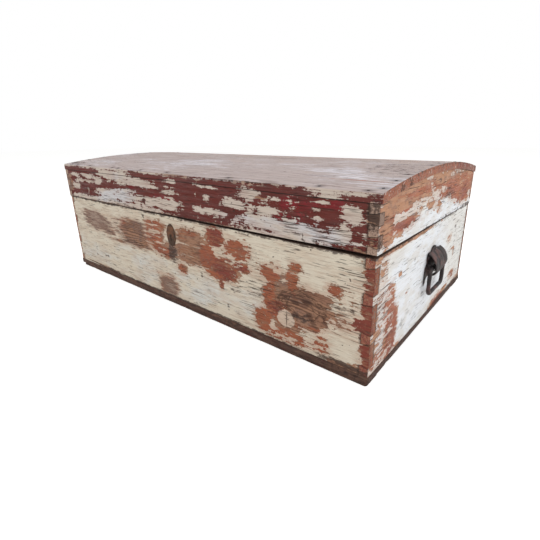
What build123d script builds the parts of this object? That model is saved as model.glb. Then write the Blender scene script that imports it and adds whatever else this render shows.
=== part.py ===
from build123d import *
from math import asin, atan2, cos, degrees, hypot, sin, sqrt
import os

# A low painted pine trunk with a gently arched lid, in millimetres.
# The origin is on the floor under the middle of the overall box.
# +Z is up, -Y is the front with the keyhole and +X is the right end.

# Body of the trunk
body_length = 920.0
body_depth = 524.0
wall_height = 185.0
wall_thickness = 15.0
body_pin_count = 4

# Floor boards and the two runners under them
floor_thickness = 11.0
floor_board_count = 3
floor_board_gap = 0.6
floor_overhang = 1.5
runner_height = 8.0
runner_width = 42.0
runner_inset = 2.0

# Lid
lid_side_height = 87.5
lid_overhang = 1.5
lid_rise = 21.0
lid_pin_count = 3
rim_gap = 0.3
rim_gap_worn = 5.0

# Roof planks, laid lengthwise over the lid's frame
plank_thickness = 14.0
plank_end_overhang = 2.5
plank_gap = 0.6
front_plank_width = 86.0
second_plank_width = 152.0
third_plank_width = 150.0

# Dovetails
pin_tip_width = 14.0
pin_root_width = 19.0

# Cut nails
nail_head = 7.0
nail_head_height = 1.6
nail_head_sink = 0.8
nail_shank = 2.6
nail_head_taper = 25.0
roof_nail_length = 34.0
roof_nail_pitch = 98.0
roof_nails_from_left = (36.0, 66.0, 136.0, 247.0, 274.0, 367.0)
roof_nail_near_middle = 3.0
roof_nails_from_right = (280.0, 95.0, 20.0)
floor_nail_length = 36.0
runner_nail_count = 5
runner_nail_margin = 44.0
board_nail_length = 13.0
nail_edge_distance = 7.5
end_nail_margin = 22.0

# Lock, keyhole and lid staple, a little right of the middle
lock_offset = 4.0
lock_width = 84.0
lock_height = 62.0
lock_depth = 14.0
lock_sheet = 2.0
lock_top_gap = 1.0
lock_nail_inset = 6.0
bolt_length = 46.0
bolt_height = 8.0
bolt_thickness = 3.2
bolt_drop = 10.0
bolt_throw = 13.0
bolt_tail_height = 18.0
bolt_tail_length = 20.0
talon_width = 8.0
talon_height = 6.0
bolt_tip_rest = 18.0
running_gap = 0.3
staple_plate_width = 52.0
staple_plate_height = 34.0
staple_plate_rise = 3.0
staple_sheet = 2.0
staple_tongue_thickness = 3.0
staple_tongue_depth = 8.0
staple_tongue_drop = 22.0
staple_slot_gap = 0.45
staple_sweep_gap = 1.0
keyhole_drop = 40.0
keyhole_radius = 2.4
keyhole_slot_width = 3.0
keyhole_slot_height = 13.0
key_post_radius = 1.4
key_post_length = 9.0
escutcheon_width = 30.0
escutcheon_height = 48.0
escutcheon_thickness = 1.8
escutcheon_pin_radius = 1.0
escutcheon_pin_length = 8.0
escutcheon_pin_inset = 4.5

# Hinges on the back, with a heel that stops the lid
hinge_inset = 160.0
hinge_width = 42.0
hinge_leaf = 3.0
hinge_body_length = 96.0
hinge_lid_length = 62.0
hinge_tip_width = 22.0
hinge_shoulder = 0.33
hinge_nail_inset = 0.2
hinge_pin_radius = 2.5
hinge_pin_clearance = 0.06
hinge_pin_head_radius = 4.2
hinge_pin_head_height = 1.6
hinge_knuckle_gap = 0.4
hinge_stand_off = 0.3
lid_knuckle_width = 15.0
heel_length = 14.0
heel_thickness = 4.0
heel_clearance = 0.35
lid_opening = 105.0

# Lifting handles on the ends
handle_axis_height = 125.0
handle_axis_stand_off = 11.5
bail_rod_radius = 4.0
bail_half_width = 42.0
bail_drop = 49.0
bail_corner_radius = 9.0
bail_clearance = 0.08
plate_thickness = 2.0
plate_half_width = 42.0
plate_tip_drop = 37.0
plate_waist_drop = 21.0
plate_nail_spread = 36.5
lug_half_spacing = 28.0
lug_thickness = 4.0
lug_wall = 2.0
hood_thickness = 2.5
hood_half_width = 36.0
hood_rise = 28.0
hood_drop = 25.0
hood_clearance = 0.6
hood_tip_half_width = 7.0
leaf_rise = 8.0
leaf_middle_radius = 18.0
leaf_lobe_radius = 11.0
leaf_lobe_spread = 25.0
seat_gap = 0.3

# Heights and faces that follow from them
floor_bottom = runner_height
wall_bottom = floor_bottom + floor_thickness
seam = wall_bottom + wall_height
half_length = body_length / 2
half_depth = body_depth / 2
lid_half_length = half_length + lid_overhang
lid_front = -half_depth - lid_overhang
lid_back = half_depth
lid_middle = (lid_front + lid_back) / 2
lid_half_depth = (lid_back - lid_front) / 2
lid_top_edge = seam + lid_side_height
roof_radius = (lid_half_depth**2 + lid_rise**2) / (2 * lid_rise)
roof_centre = lid_top_edge + lid_rise - roof_radius
under_roof_radius = roof_radius - plank_thickness
lug_radius = bail_rod_radius + bail_clearance + lug_wall
hood_top = handle_axis_height + hood_rise
hood_tip = handle_axis_height - hood_drop
hood_bulge = handle_axis_stand_off + lug_radius + hood_clearance + hood_thickness
leaf_top = hood_top + leaf_rise
leaf_lobe_height = hood_top - leaf_lobe_radius


def block(low, high):
    """A box between two corners."""
    size = [b - a for a, b in zip(low, high)]
    middle = [(a + b) / 2 for a, b in zip(low, high)]
    return Pos(*middle) * Box(*size)


def prism(points, run):
    """A flat outline through 3-D points, run straight along a vector."""
    outline = Wire.make_polygon([Vector(*p) for p in points], close=True)
    return Solid.extrude(Face(outline), Vector(*run))


def nail(place, aim, length):
    """A square cut nail with a low faceted head, its head sunk a little into the wood."""
    frame = Plane(origin=place, z_dir=tuple(-a for a in aim))
    head = extrude(Rectangle(nail_head, nail_head), nail_head_height, taper=nail_head_taper)
    shank = Pos(0, 0, -length / 2) * Box(nail_shank, nail_shank, length)
    return frame * Pos(0, 0, -nail_head_sink) * (head + shank)


def drive(wood, nails):
    """Cuts the holes that the nails fill, in the pieces of wood that they reach."""
    box = wood.bounding_box()
    near = [n for n in nails if box.overlaps(n.bounding_box())]
    return wood - near if near else wood


def roof_height(y, radius):
    """The height of an arc of the roof over a place across the lid."""
    return roof_centre + sqrt(radius**2 - (y - lid_middle) ** 2)


# Dovetailed corners


def pin_bands(bottom, top, count):
    """The height bands of the pins at their tips: a half pin at each end, whole pins evenly between."""
    pitch = (top - bottom) / (count - 1)
    bands = []
    for index in range(count):
        middle = bottom + index * pitch
        low = max(middle - pin_tip_width / 2, bottom) if index else bottom
        high = min(middle + pin_tip_width / 2, top)
        if index == 0:
            high = bottom + pin_tip_width
        if index == count - 1:
            low = top - pin_tip_width
        bands.append((low, high))
    return bands


def corner_pins(end_face, side_face, side_run, bottom, top, count):
    """The pins of one end board at one corner. They narrow towards the end's outer face."""
    flare = (pin_root_width - pin_tip_width) / 2
    root_x = end_face - wall_thickness * (1 if end_face > 0 else -1)
    pins = []
    for low, high in pin_bands(bottom, top, count):
        low_root = low if low == bottom else low - flare
        high_root = high if high == top else high + flare
        outline = [
            (end_face, side_face, low),
            (end_face, side_face, high),
            (root_x, side_face, high_root),
            (root_x, side_face, low_root),
        ]
        pins.append(prism(outline, (0, side_run, 0)))
    return pins


def dovetailed_frame(half_x, front, back, bottom, top, count):
    """The four boards of a frame: tails on the front and back, pins on the ends."""
    corners = {}
    for end in (-1, 1):
        corners[end, "front"] = corner_pins(end * half_x, front, wall_thickness, bottom, top, count)
        corners[end, "back"] = corner_pins(end * half_x, back, -wall_thickness, bottom, top, count)
    boards = {}
    for side, low_y, high_y in (
        ("front", front, front + wall_thickness),
        ("back", back - wall_thickness, back),
    ):
        board = block((-half_x, low_y, bottom), (half_x, high_y, top))
        boards[side] = board - (corners[-1, side] + corners[1, side])
    for end, name in ((-1, "left"), (1, "right")):
        outer = end * half_x
        inner = end * (half_x - wall_thickness)
        core = block(
            (min(outer, inner), front + wall_thickness, bottom),
            (max(outer, inner), back - wall_thickness, top),
        )
        boards[name] = core + (corners[end, "front"] + corners[end, "back"])
    return boards


# Body


def carcass_boards():
    """The four dovetailed boards of the body."""
    return dovetailed_frame(half_length, -half_depth, half_depth, wall_bottom, seam, body_pin_count)


def floor_boards():
    """The lengthwise floor boards, nailed up against the body's lower edges."""
    half_x = half_length + floor_overhang
    half_y = half_depth + floor_overhang
    pitch = 2 * half_y / floor_board_count
    boards = []
    for index in range(floor_board_count):
        low = -half_y + index * pitch + (floor_board_gap / 2 if index else 0)
        high = -half_y + (index + 1) * pitch
        high -= floor_board_gap / 2 if index < floor_board_count - 1 else 0
        boards.append(block((-half_x, low, floor_bottom), (half_x, high, wall_bottom)))
    return boards


def runners():
    """The front and back runners that the trunk stands on."""
    half_x = half_length - runner_inset
    outer = half_depth - runner_inset
    front = block((-half_x, -outer, 0), (half_x, -outer + runner_width, floor_bottom))
    back = block((-half_x, outer - runner_width, 0), (half_x, outer, floor_bottom))
    return front, back


def floor_nails():
    """Nails driven up through the runners into the long walls, and through the floor into the ends."""
    nails = []
    wall_middle = half_depth - wall_thickness / 2
    flush = nail_head_height - nail_head_sink
    run = body_length - 2 * runner_nail_margin
    steps = runner_nail_count
    for side in (-1, 1):
        for step in range(steps):
            x = -run / 2 + run * step / (steps - 1)
            nails.append(nail((x, side * wall_middle, flush), (0, 0, 1), floor_nail_length))
    pitch = (body_depth - 2 * (runner_inset + runner_width) - 2 * end_nail_margin) / floor_board_count
    for end in (-1, 1):
        x = end * (half_length - wall_thickness / 2)
        for step in range(floor_board_count + 1):
            y = -pitch * floor_board_count / 2 + pitch * step
            nails.append(nail((x, y, floor_bottom), (0, 0, 1), floor_nail_length - runner_height))
    return nails


# Lid


def under_roof():
    """The space under the roof planks, which the tops of the lid's frame follow."""
    body = Cylinder(under_roof_radius, 2 * lid_half_length + 2 * wall_thickness)
    return Pos(0, lid_middle, roof_centre) * Rot(0, 90, 0) * body


def lid_frame():
    """The lid's four boards, arched on top, with the rim worn open towards the front right corner."""
    top = lid_top_edge + lid_rise
    pins_top = roof_height(lid_front + wall_thickness, under_roof_radius)
    bottom = seam + rim_gap
    boards = dovetailed_frame(lid_half_length, lid_front, lid_back, bottom, pins_top, lid_pin_count)
    for name in ("left", "right"):
        end = 1 if name == "right" else -1
        outer = end * lid_half_length
        inner = end * (lid_half_length - wall_thickness)
        arch = block(
            (min(outer, inner), lid_front + wall_thickness, bottom),
            (max(outer, inner), lid_back - wall_thickness, top),
        )
        boards[name] += arch
    shape = under_roof()
    boards = {name: board & shape for name, board in boards.items()}
    wear = rim_gap_worn - rim_gap
    front_wear = prism(
        [
            (-lid_half_length, lid_front, bottom),
            (lid_half_length, lid_front, bottom),
            (lid_half_length, lid_front, bottom + wear),
        ],
        (0, wall_thickness, 0),
    )
    end_wear = prism(
        [
            (lid_half_length, lid_front, bottom),
            (lid_half_length, lid_back, bottom),
            (lid_half_length, lid_front, bottom + wear),
        ],
        (-wall_thickness, 0, 0),
    )
    boards["front"] -= front_wear
    boards["right"] -= end_wear
    return boards


def plank_edges():
    """The places across the lid where one roof plank ends and the next begins."""
    first = lid_front + front_plank_width
    second = first + second_plank_width
    return [lid_front, first, second, second + third_plank_width, lid_back]


def roof_plank(low, high):
    """One arched plank between two places across the lid, with joints square to the arc."""

    def edge(y, outer_edge, shift):
        if outer_edge:
            return [(y, roof_height(y, r)) for r in (roof_radius, under_roof_radius)]
        angle = asin((y + shift - lid_middle) / roof_radius)
        return [
            (lid_middle + r * sin(angle), roof_centre + r * cos(angle))
            for r in (roof_radius, under_roof_radius)
        ]

    start = edge(low, low == lid_front, plank_gap / 2)
    end = edge(high, high == lid_back, -plank_gap / 2)
    middle = (low + high) / 2
    x = -lid_half_length - plank_end_overhang
    corner = {
        "start top": (x, *start[0]),
        "end top": (x, *end[0]),
        "start low": (x, *start[1]),
        "end low": (x, *end[1]),
        "middle top": (x, middle, roof_height(middle, roof_radius)),
        "middle low": (x, middle, roof_height(middle, under_roof_radius)),
    }
    wire = Wire(
        [
            Edge.make_three_point_arc(corner["start top"], corner["middle top"], corner["end top"]),
            Edge.make_line(corner["end top"], corner["end low"]),
            Edge.make_three_point_arc(corner["end low"], corner["middle low"], corner["start low"]),
            Edge.make_line(corner["start low"], corner["start top"]),
        ]
    )
    return Solid.extrude(Face(wire), Vector(-2 * x, 0, 0))


def roof_nails():
    """Nails down through the planks: unevenly along the front, evenly at the back, two to a plank at each end."""
    nails = []
    count = int((2 * lid_half_length - 2 * nail_edge_distance) / roof_nail_pitch) + 1
    even = [roof_nail_pitch * (step - (count - 1) / 2) for step in range(count)]
    uneven = [inset - half_length for inset in roof_nails_from_left]
    uneven.append(roof_nail_near_middle)
    uneven += [half_length - inset for inset in roof_nails_from_right]
    front_y = lid_front + nail_edge_distance
    back_y = lid_back - nail_edge_distance
    for y, places in ((front_y, uneven), (back_y, even)):
        for x in places:
            nails.append(nail((x, y, roof_height(y, roof_radius)), (0, 0, -1), roof_nail_length))
    edges = plank_edges()
    for end in (-1, 1):
        x = end * (lid_half_length - wall_thickness / 2)
        for low, high in zip(edges, edges[1:]):
            for y in (low + end_nail_margin, high - end_nail_margin):
                place = (x, y, roof_height(y, roof_radius))
                angle = asin((y - lid_middle) / roof_radius)
                nails.append(nail(place, (0, -sin(angle), -cos(angle)), roof_nail_length))
    return nails


# Lock


def keyhole(low_y, high_y):
    """The keyhole: a round top for the key's stem and a slot below for its bit."""
    centre = seam - keyhole_drop
    stem = Pos(0, (low_y + high_y) / 2, centre) * Rot(90, 0, 0) * Cylinder(keyhole_radius, high_y - low_y)
    half = keyhole_slot_width / 2
    slot = block((-half, low_y, centre - keyhole_slot_height), (half, high_y, centre))
    return stem + slot


def lock_faces():
    """The lock case's faces: its front on the wall, its back, its top and its bottom."""
    front = -half_depth + wall_thickness
    top = seam - lock_top_gap
    return front, front + lock_depth, top - lock_height, top


def lock_case():
    """The hollow iron case inside the front wall, with a ledge for the bolt and a post for the key."""
    front, back, low, high = lock_faces()
    half = lock_width / 2
    outer = block((-half, front, low), (half, back, high))
    inner = block(
        (-half + lock_sheet, front + lock_sheet, low + lock_sheet),
        (half - lock_sheet, back - lock_sheet, high - lock_sheet),
    )
    case = outer - inner
    centre_y = (front + back) / 2
    slot_x = bolt_tip_rest + running_gap
    slot_end = slot_x + staple_tongue_thickness + 2 * staple_slot_gap
    slot_half_y = staple_tongue_depth / 2 + staple_sweep_gap
    slot = block(
        (slot_x, centre_y - slot_half_y, high - lock_sheet),
        (slot_end, centre_y + slot_half_y, high),
    )
    ledge_top = high - bolt_drop - bolt_height - running_gap
    for start, end in (
        (-half + lock_sheet, -bolt_tail_length / 2 - bolt_throw / 2 - running_gap),
        (slot_end + running_gap, half - lock_sheet),
    ):
        case += block((start, front + lock_sheet, ledge_top - lock_sheet), (end, back - lock_sheet, ledge_top))
    post_y = front + lock_sheet
    post = (
        Pos(0, back - lock_sheet - key_post_length / 2, seam - keyhole_drop)
        * Rot(90, 0, 0)
        * Cylinder(key_post_radius, key_post_length)
    )
    return case - slot - keyhole(front, post_y) + post


def lock_bolt():
    """The sliding bolt, with a tail that hangs to the key and a talon cut in it."""
    front, back, _, high = lock_faces()
    centre_y = (front + back) / 2
    top = high - bolt_drop
    bottom = top - bolt_height
    tail_bottom = bottom - bolt_tail_height
    tail_x = -bolt_throw / 2
    near = centre_y - bolt_thickness / 2
    far = centre_y + bolt_thickness / 2
    bar = block((bolt_tip_rest - bolt_length, near, bottom), (bolt_tip_rest, far, top))
    tail = block(
        (tail_x - bolt_tail_length / 2, near, tail_bottom),
        (tail_x + bolt_tail_length / 2, far, bottom),
    )
    talon = block(
        (tail_x - talon_width / 2, near, tail_bottom),
        (tail_x + talon_width / 2, far, tail_bottom + talon_height),
    )
    return bar + (tail - talon)


def lid_staple():
    """The plate inside the lid's front, with an eye that drops into the lock for the bolt to pass."""
    front, back, _, high = lock_faces()
    centre_y = (front + back) / 2
    face = lid_front + wall_thickness
    plate_bottom = seam + rim_gap_worn + staple_plate_rise
    half = staple_plate_width / 2
    x = bolt_tip_rest + running_gap + staple_slot_gap
    plate = block(
        (x - half, face, plate_bottom),
        (x + half, face + staple_sheet, plate_bottom + staple_plate_height),
    )
    half_y = staple_tongue_depth / 2
    arm = block(
        (x, face, plate_bottom),
        (x + staple_tongue_thickness, centre_y + half_y, plate_bottom + 2 * staple_sheet),
    )
    eye_bottom = seam - staple_tongue_drop
    tongue = block(
        (x, centre_y - half_y, eye_bottom),
        (x + staple_tongue_thickness, centre_y + half_y, plate_bottom + staple_sheet),
    )
    bolt_middle = high - bolt_drop - bolt_height / 2
    eye_half = bolt_height / 2 + 2 * running_gap
    bar_half = bolt_thickness / 2 + running_gap
    eye = block(
        (x, centre_y - bar_half, bolt_middle - eye_half),
        (x + staple_tongue_thickness, centre_y + bar_half, bolt_middle + eye_half),
    )
    return plate + arm + tongue - eye


def escutcheon():
    """The upright oval plate round the keyhole, on the front wall."""
    frame = Plane(origin=(0, -half_depth, seam - keyhole_drop), x_dir=(1, 0, 0), z_dir=(0, -1, 0))
    oval = extrude(frame * Ellipse(escutcheon_width / 2, escutcheon_height / 2), escutcheon_thickness)
    rim = oval.faces().filter_by(Axis.Y).sort_by(Axis.Y)[0].edges()
    oval = chamfer(rim, escutcheon_thickness / 3)
    return oval - keyhole(-half_depth - escutcheon_thickness, -half_depth)


def escutcheon_pins():
    """The two small pins that hold the escutcheon."""
    reach = escutcheon_height / 2 - escutcheon_pin_inset
    length = escutcheon_pin_length
    middle_y = -half_depth - escutcheon_thickness + length / 2
    return [
        Pos(0, middle_y, seam - keyhole_drop + side * reach)
        * Rot(90, 0, 0)
        * Cylinder(escutcheon_pin_radius, length)
        for side in (-1, 1)
    ]


def lock_nails():
    """Four nails through the corners of the lock case into the front wall."""
    _, back, low, high = lock_faces()
    nails = []
    for x in (-lock_width / 2 + lock_nail_inset, lock_width / 2 - lock_nail_inset):
        for z in (low + lock_nail_inset, high - lock_nail_inset - lock_sheet):
            nails.append(nail((x, back, z), (0, -1, 0), lock_depth + board_nail_length - lock_sheet))
    return nails


def staple_nails():
    """Four nails through the staple's plate into the lid's front board."""
    x_middle = bolt_tip_rest + running_gap + staple_slot_gap
    bottom = seam + rim_gap_worn + staple_plate_rise
    y = lid_front + wall_thickness + staple_sheet
    nails = []
    for side in (-1, 1):
        for z in (bottom + lock_nail_inset, bottom + staple_plate_height - lock_nail_inset):
            x = x_middle + side * (staple_plate_width / 2 - lock_nail_inset)
            nails.append(nail((x, y, z), (0, -1, 0), board_nail_length))
    return nails


# Hinges


knuckle_bore = hinge_pin_radius + hinge_pin_clearance
knuckle_radius = knuckle_bore + hinge_leaf
hinge_axis_y = half_depth + hinge_stand_off + knuckle_radius


def knuckle(x_middle, width):
    """One rolled knuckle, still without its bore."""
    return Pos(x_middle, hinge_axis_y, seam) * Rot(0, 90, 0) * Cylinder(knuckle_radius, width)


def knuckle_hole(x_middle):
    """The bore through all the knuckles of one hinge."""
    bore = Cylinder(knuckle_bore, hinge_width + 2 * hinge_leaf)
    return Pos(x_middle, hinge_axis_y, seam) * Rot(0, 90, 0) * bore


def leaf_outline(x_middle, root, tip):
    """A strap that narrows from its knuckle to a blunt tip, flat on the back of the trunk."""
    half = hinge_width / 2
    tip_half = hinge_tip_width / 2
    shoulder = root + (tip - root) * hinge_shoulder
    outline = [
        (x_middle - half, half_depth, root),
        (x_middle + half, half_depth, root),
        (x_middle + half, half_depth, shoulder),
        (x_middle + tip_half, half_depth, tip),
        (x_middle - tip_half, half_depth, tip),
        (x_middle - half, half_depth, shoulder),
    ]
    return prism(outline, (0, hinge_leaf, 0))


def outer_knuckle_width():
    """The width of each of the two knuckles on the body's leaf."""
    return (hinge_width - lid_knuckle_width) / 2 - hinge_knuckle_gap


def hinge_body_leaf(x_middle):
    """The lower leaf, with the two outer knuckles."""
    root = seam - knuckle_radius - hinge_knuckle_gap
    leaf = leaf_outline(x_middle, root, seam - hinge_body_length)
    width = outer_knuckle_width()
    for side in (-1, 1):
        x = x_middle + side * (hinge_width - width) / 2
        wing = block((x - width / 2, half_depth, root), (x + width / 2, half_depth + hinge_leaf, seam))
        leaf += wing + knuckle(x, width)
    return leaf - knuckle_hole(x_middle)


def heel_angle():
    """The heel's direction with the lid shut, from +Z towards +Y, so that it meets the leaf fully open."""
    reach = knuckle_bore + hinge_stand_off - heel_clearance
    half = heel_thickness / 2
    beyond = degrees(asin(reach / hypot(heel_length, half)) - atan2(half, heel_length))
    return 180 + beyond - lid_opening


def hinge_lid_leaf(x_middle):
    """The upper leaf, with the middle knuckle and the heel that stops the lid."""
    root = seam + knuckle_radius + hinge_knuckle_gap
    leaf = leaf_outline(x_middle, root, seam + hinge_lid_length)
    half = lid_knuckle_width / 2
    wing = block(
        (x_middle - half, half_depth, seam + rim_gap),
        (x_middle + half, half_depth + hinge_leaf, root),
    )
    heel = Pos(0, 0, heel_length / 2) * Box(lid_knuckle_width, heel_thickness, heel_length)
    heel = Pos(x_middle, hinge_axis_y, seam) * Rot(-heel_angle(), 0, 0) * heel
    leaf = leaf + wing + knuckle(x_middle, lid_knuckle_width) + heel
    return leaf - knuckle_hole(x_middle)


def hinge_pin(x_middle):
    """The pin, with a low head at each end."""
    shaft = Cylinder(hinge_pin_radius, hinge_width + 2 * hinge_knuckle_gap)
    reach = hinge_width / 2 + hinge_knuckle_gap + hinge_pin_head_height / 2
    for side in (-1, 1):
        shaft += Pos(0, 0, side * reach) * Cylinder(hinge_pin_head_radius, hinge_pin_head_height)
    return Pos(x_middle, hinge_axis_y, seam) * Rot(0, 90, 0) * shaft


def hinge_nails(x_middle, root, tip):
    """Three nails through one leaf: two by the knuckle and one by the tip."""
    y = half_depth + hinge_leaf
    spread = hinge_width / 2 - nail_head
    near = root + (tip - root) * hinge_nail_inset
    far = tip - (tip - root) * hinge_nail_inset
    places = [(x_middle - spread, y, near), (x_middle + spread, y, near), (x_middle, y, far)]
    return [nail(place, (0, -1, 0), board_nail_length) for place in places]


# Handles, made for the right end and mirrored to the left


def handle_point(stand_off, y, z):
    """A place on the right handle: its distance from the end board, then y and z."""
    return (half_length + stand_off, y, z)


def scalloped_leaf(thickness):
    """The three-lobed top of the handle's plate and hood."""
    frame = Plane(origin=handle_point(0, 0, 0), x_dir=(0, 1, 0), z_dir=(1, 0, 0))
    shape = Pos(0, leaf_lobe_height) * Rectangle(2 * leaf_lobe_spread, leaf_lobe_radius)
    shape += Pos(0, leaf_top - leaf_middle_radius) * Circle(leaf_middle_radius)
    for side in (-1, 1):
        shape += Pos(side * leaf_lobe_spread, leaf_lobe_height) * Circle(leaf_lobe_radius)
    return extrude(frame * shape, thickness)


def handle_plate():
    """The back plate: scalloped top, pointed lower corners and two lugs bored for the bail."""
    low = handle_axis_height - plate_tip_drop
    waist = handle_axis_height - plate_waist_drop
    shoulder = leaf_lobe_height
    half = plate_half_width
    outline = [
        handle_point(0, -half, low),
        handle_point(0, -lug_half_spacing, waist),
        handle_point(0, lug_half_spacing, waist),
        handle_point(0, half, low),
        handle_point(0, half - seat_gap, handle_axis_height),
        handle_point(0, leaf_lobe_spread, shoulder),
        handle_point(0, -leaf_lobe_spread, shoulder),
        handle_point(0, -half + seat_gap, handle_axis_height),
    ]
    plate = prism(outline, (plate_thickness, 0, 0)) + scalloped_leaf(plate_thickness)
    axis = handle_point(handle_axis_stand_off, 0, handle_axis_height)
    for side in (-1, 1):
        y = side * lug_half_spacing
        eye = Pos(axis[0], y, axis[2]) * Rot(90, 0, 0) * Cylinder(lug_radius, lug_thickness)
        neck = block(
            handle_point(0, y - lug_thickness / 2, handle_axis_height - lug_radius),
            handle_point(handle_axis_stand_off, y + lug_thickness / 2, handle_axis_height + lug_radius),
        )
        plate += eye + neck
    bore = Cylinder(bail_rod_radius + bail_clearance, 2 * plate_half_width)
    return plate - Pos(*axis) * Rot(90, 0, 0) * bore


def handle_hood():
    """The hood over the bail's bar: a sheet that bulges off the plate and tapers to a blunt tip."""
    chord = (hood_top - hood_tip) / 2
    foot = plate_thickness + hood_thickness
    rise = hood_bulge - foot
    radius = (chord**2 + rise**2) / (2 * rise)
    centre_z = (hood_top + hood_tip) / 2
    axis = Pos(half_length + hood_bulge - radius, 0, centre_z) * Rot(90, 0, 0)
    width = 2 * hood_half_width
    sheet = axis * (Cylinder(radius, width) - Cylinder(radius - hood_thickness, width))
    front = block(
        handle_point(plate_thickness + seat_gap, -hood_half_width, hood_tip),
        handle_point(hood_bulge, hood_half_width, hood_top),
    )
    taper = [
        handle_point(0, -hood_half_width, hood_top),
        handle_point(0, hood_half_width, hood_top),
        handle_point(0, hood_half_width, handle_axis_height),
        handle_point(0, hood_tip_half_width, hood_tip),
        handle_point(0, -hood_tip_half_width, hood_tip),
        handle_point(0, -hood_half_width, handle_axis_height),
    ]
    visor = sheet & front & prism(taper, (2 * hood_bulge, 0, 0))
    leaf = Pos(plate_thickness, 0, 0) * scalloped_leaf(hood_thickness)
    above = block(
        handle_point(0, -width, leaf_lobe_height),
        handle_point(foot, width, leaf_top),
    )
    return visor + (leaf & above)


def bail():
    """The closed ring of round rod: a bar in the lugs, two arms and the grip."""
    x = half_length + handle_axis_stand_off
    top = handle_axis_height
    low = top - bail_drop
    half = bail_half_width
    r = bail_corner_radius
    lines = [
        Edge.make_line((x, -half + r, top), (x, half - r, top)),
        Edge.make_line((x, half, top - r), (x, half, low + r)),
        Edge.make_line((x, -half, low + r), (x, -half, top - r)),
    ]
    bend = r * (1 - sqrt(0.5))
    corners = [
        Edge.make_three_point_arc((x, half - r, top), (x, half - bend, top - bend), (x, half, top - r)),
        Edge.make_three_point_arc((x, half, low + r), (x, half - bend, low + bend), (x, half - r, low)),
        Edge.make_three_point_arc((x, -half + r, low), (x, -half + bend, low + bend), (x, -half, low + r)),
        Edge.make_three_point_arc((x, -half, top - r), (x, -half + bend, top - bend), (x, -half + r, top)),
    ]
    grip = Edge.make_line((x, half - r, low), (x, -half + r, low))
    ring = None
    for line in (*lines, grip):
        start = line.position_at(0)
        rod = Solid.make_cylinder(bail_rod_radius, line.length, Plane(start, z_dir=line.tangent_at(0)))
        ring = rod if ring is None else ring + rod
    for corner in corners:
        section = Plane(corner.position_at(0), z_dir=corner.tangent_at(0)) * Circle(bail_rod_radius)
        ring += sweep(section, corner)
    return ring


def handle_nails():
    """A nail in the top lobe of the hood and one in each lower corner of the plate."""
    foot = plate_thickness + hood_thickness
    top = handle_point(foot, 0, leaf_top - nail_head)
    nails = [nail(top, (-1, 0, 0), board_nail_length)]
    for side in (-1, 1):
        place = handle_point(plate_thickness, side * plate_nail_spread, handle_axis_height - plate_waist_drop)
        nails.append(nail(place, (-1, 0, 0), board_nail_length))
    return nails


# Putting it together

body = carcass_boards()
floors = floor_boards()
front_runner, back_runner = runners()
lid = lid_frame()
edges = plank_edges()
planks = [roof_plank(low, high) for low, high in zip(edges, edges[1:])]
hinge_places = {"left": hinge_inset - half_length, "right": half_length - hinge_inset}

nails_in_floor = floor_nails()
nails_in_roof = roof_nails()
lock_shift = Pos(lock_offset, 0, 0)
nails_in_lock = [lock_shift * n for n in lock_nails()]
nails_in_staple = [lock_shift * n for n in staple_nails()]
pins_in_escutcheon = [lock_shift * n for n in escutcheon_pins()]
lower_root = seam - knuckle_radius
upper_root = seam + knuckle_radius
nails_in_body_leaves = []
nails_in_lid_leaves = []
for place in hinge_places.values():
    nails_in_body_leaves += hinge_nails(place, lower_root, seam - hinge_body_length)
    nails_in_lid_leaves += hinge_nails(place, upper_root, seam + hinge_lid_length)
right_handle_nails = handle_nails()
nails_in_handles = right_handle_nails + [n.mirror(Plane.YZ) for n in right_handle_nails]

front_wall = body["front"] - lock_shift * keyhole(-half_depth, -half_depth + wall_thickness)
front_fixings = nails_in_floor + nails_in_lock + pins_in_escutcheon
nodes = {
    "front_board": drive(front_wall, front_fixings),
    "back_board": drive(body["back"], nails_in_floor + nails_in_body_leaves),
    "left_end_board": drive(body["left"], nails_in_floor + nails_in_handles),
    "right_end_board": drive(body["right"], nails_in_floor + nails_in_handles),
    "front_runner": drive(front_runner, nails_in_floor),
    "back_runner": drive(back_runner, nails_in_floor),
    "lid_front_board": drive(lid["front"], nails_in_roof + nails_in_staple),
    "lid_back_board": drive(lid["back"], nails_in_roof + nails_in_lid_leaves),
    "lid_left_end_board": drive(lid["left"], nails_in_roof),
    "lid_right_end_board": drive(lid["right"], nails_in_roof),
    "escutcheon": drive(lock_shift * escutcheon(), pins_in_escutcheon),
    "lock_case": drive(lock_shift * lock_case(), nails_in_lock),
    "lock_bolt": lock_shift * lock_bolt(),
    "lid_staple": drive(lock_shift * lid_staple(), nails_in_staple),
}
for index, board in enumerate(floors, start=1):
    nodes[f"floor_board_{index}"] = drive(board, nails_in_floor)
for index, plank in enumerate(planks, start=1):
    nodes[f"roof_plank_{index}"] = drive(plank, nails_in_roof)
for side, place in hinge_places.items():
    nodes[f"{side}_hinge_body_leaf"] = drive(hinge_body_leaf(place), nails_in_body_leaves)
    nodes[f"{side}_hinge_lid_leaf"] = drive(hinge_lid_leaf(place), nails_in_lid_leaves)
    nodes[f"{side}_hinge_pin"] = hinge_pin(place)

right_handle = {
    "handle_plate": drive(handle_plate(), right_handle_nails),
    "handle_hood": drive(handle_hood(), right_handle_nails),
    "bail": bail(),
}
for name, piece in right_handle.items():
    nodes[f"right_{name}"] = piece
    nodes[f"left_{name}"] = piece.mirror(Plane.YZ)

nail_groups = {
    "floor_nails": nails_in_floor,
    "roof_nails": nails_in_roof,
    "lock_nails": nails_in_lock,
    "staple_nails": nails_in_staple,
    "escutcheon_pins": pins_in_escutcheon,
    "hinge_body_nails": nails_in_body_leaves,
    "hinge_lid_nails": nails_in_lid_leaves,
    "handle_nails": nails_in_handles,
}
for name, group in nail_groups.items():
    nodes[name] = Compound(group)

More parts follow.
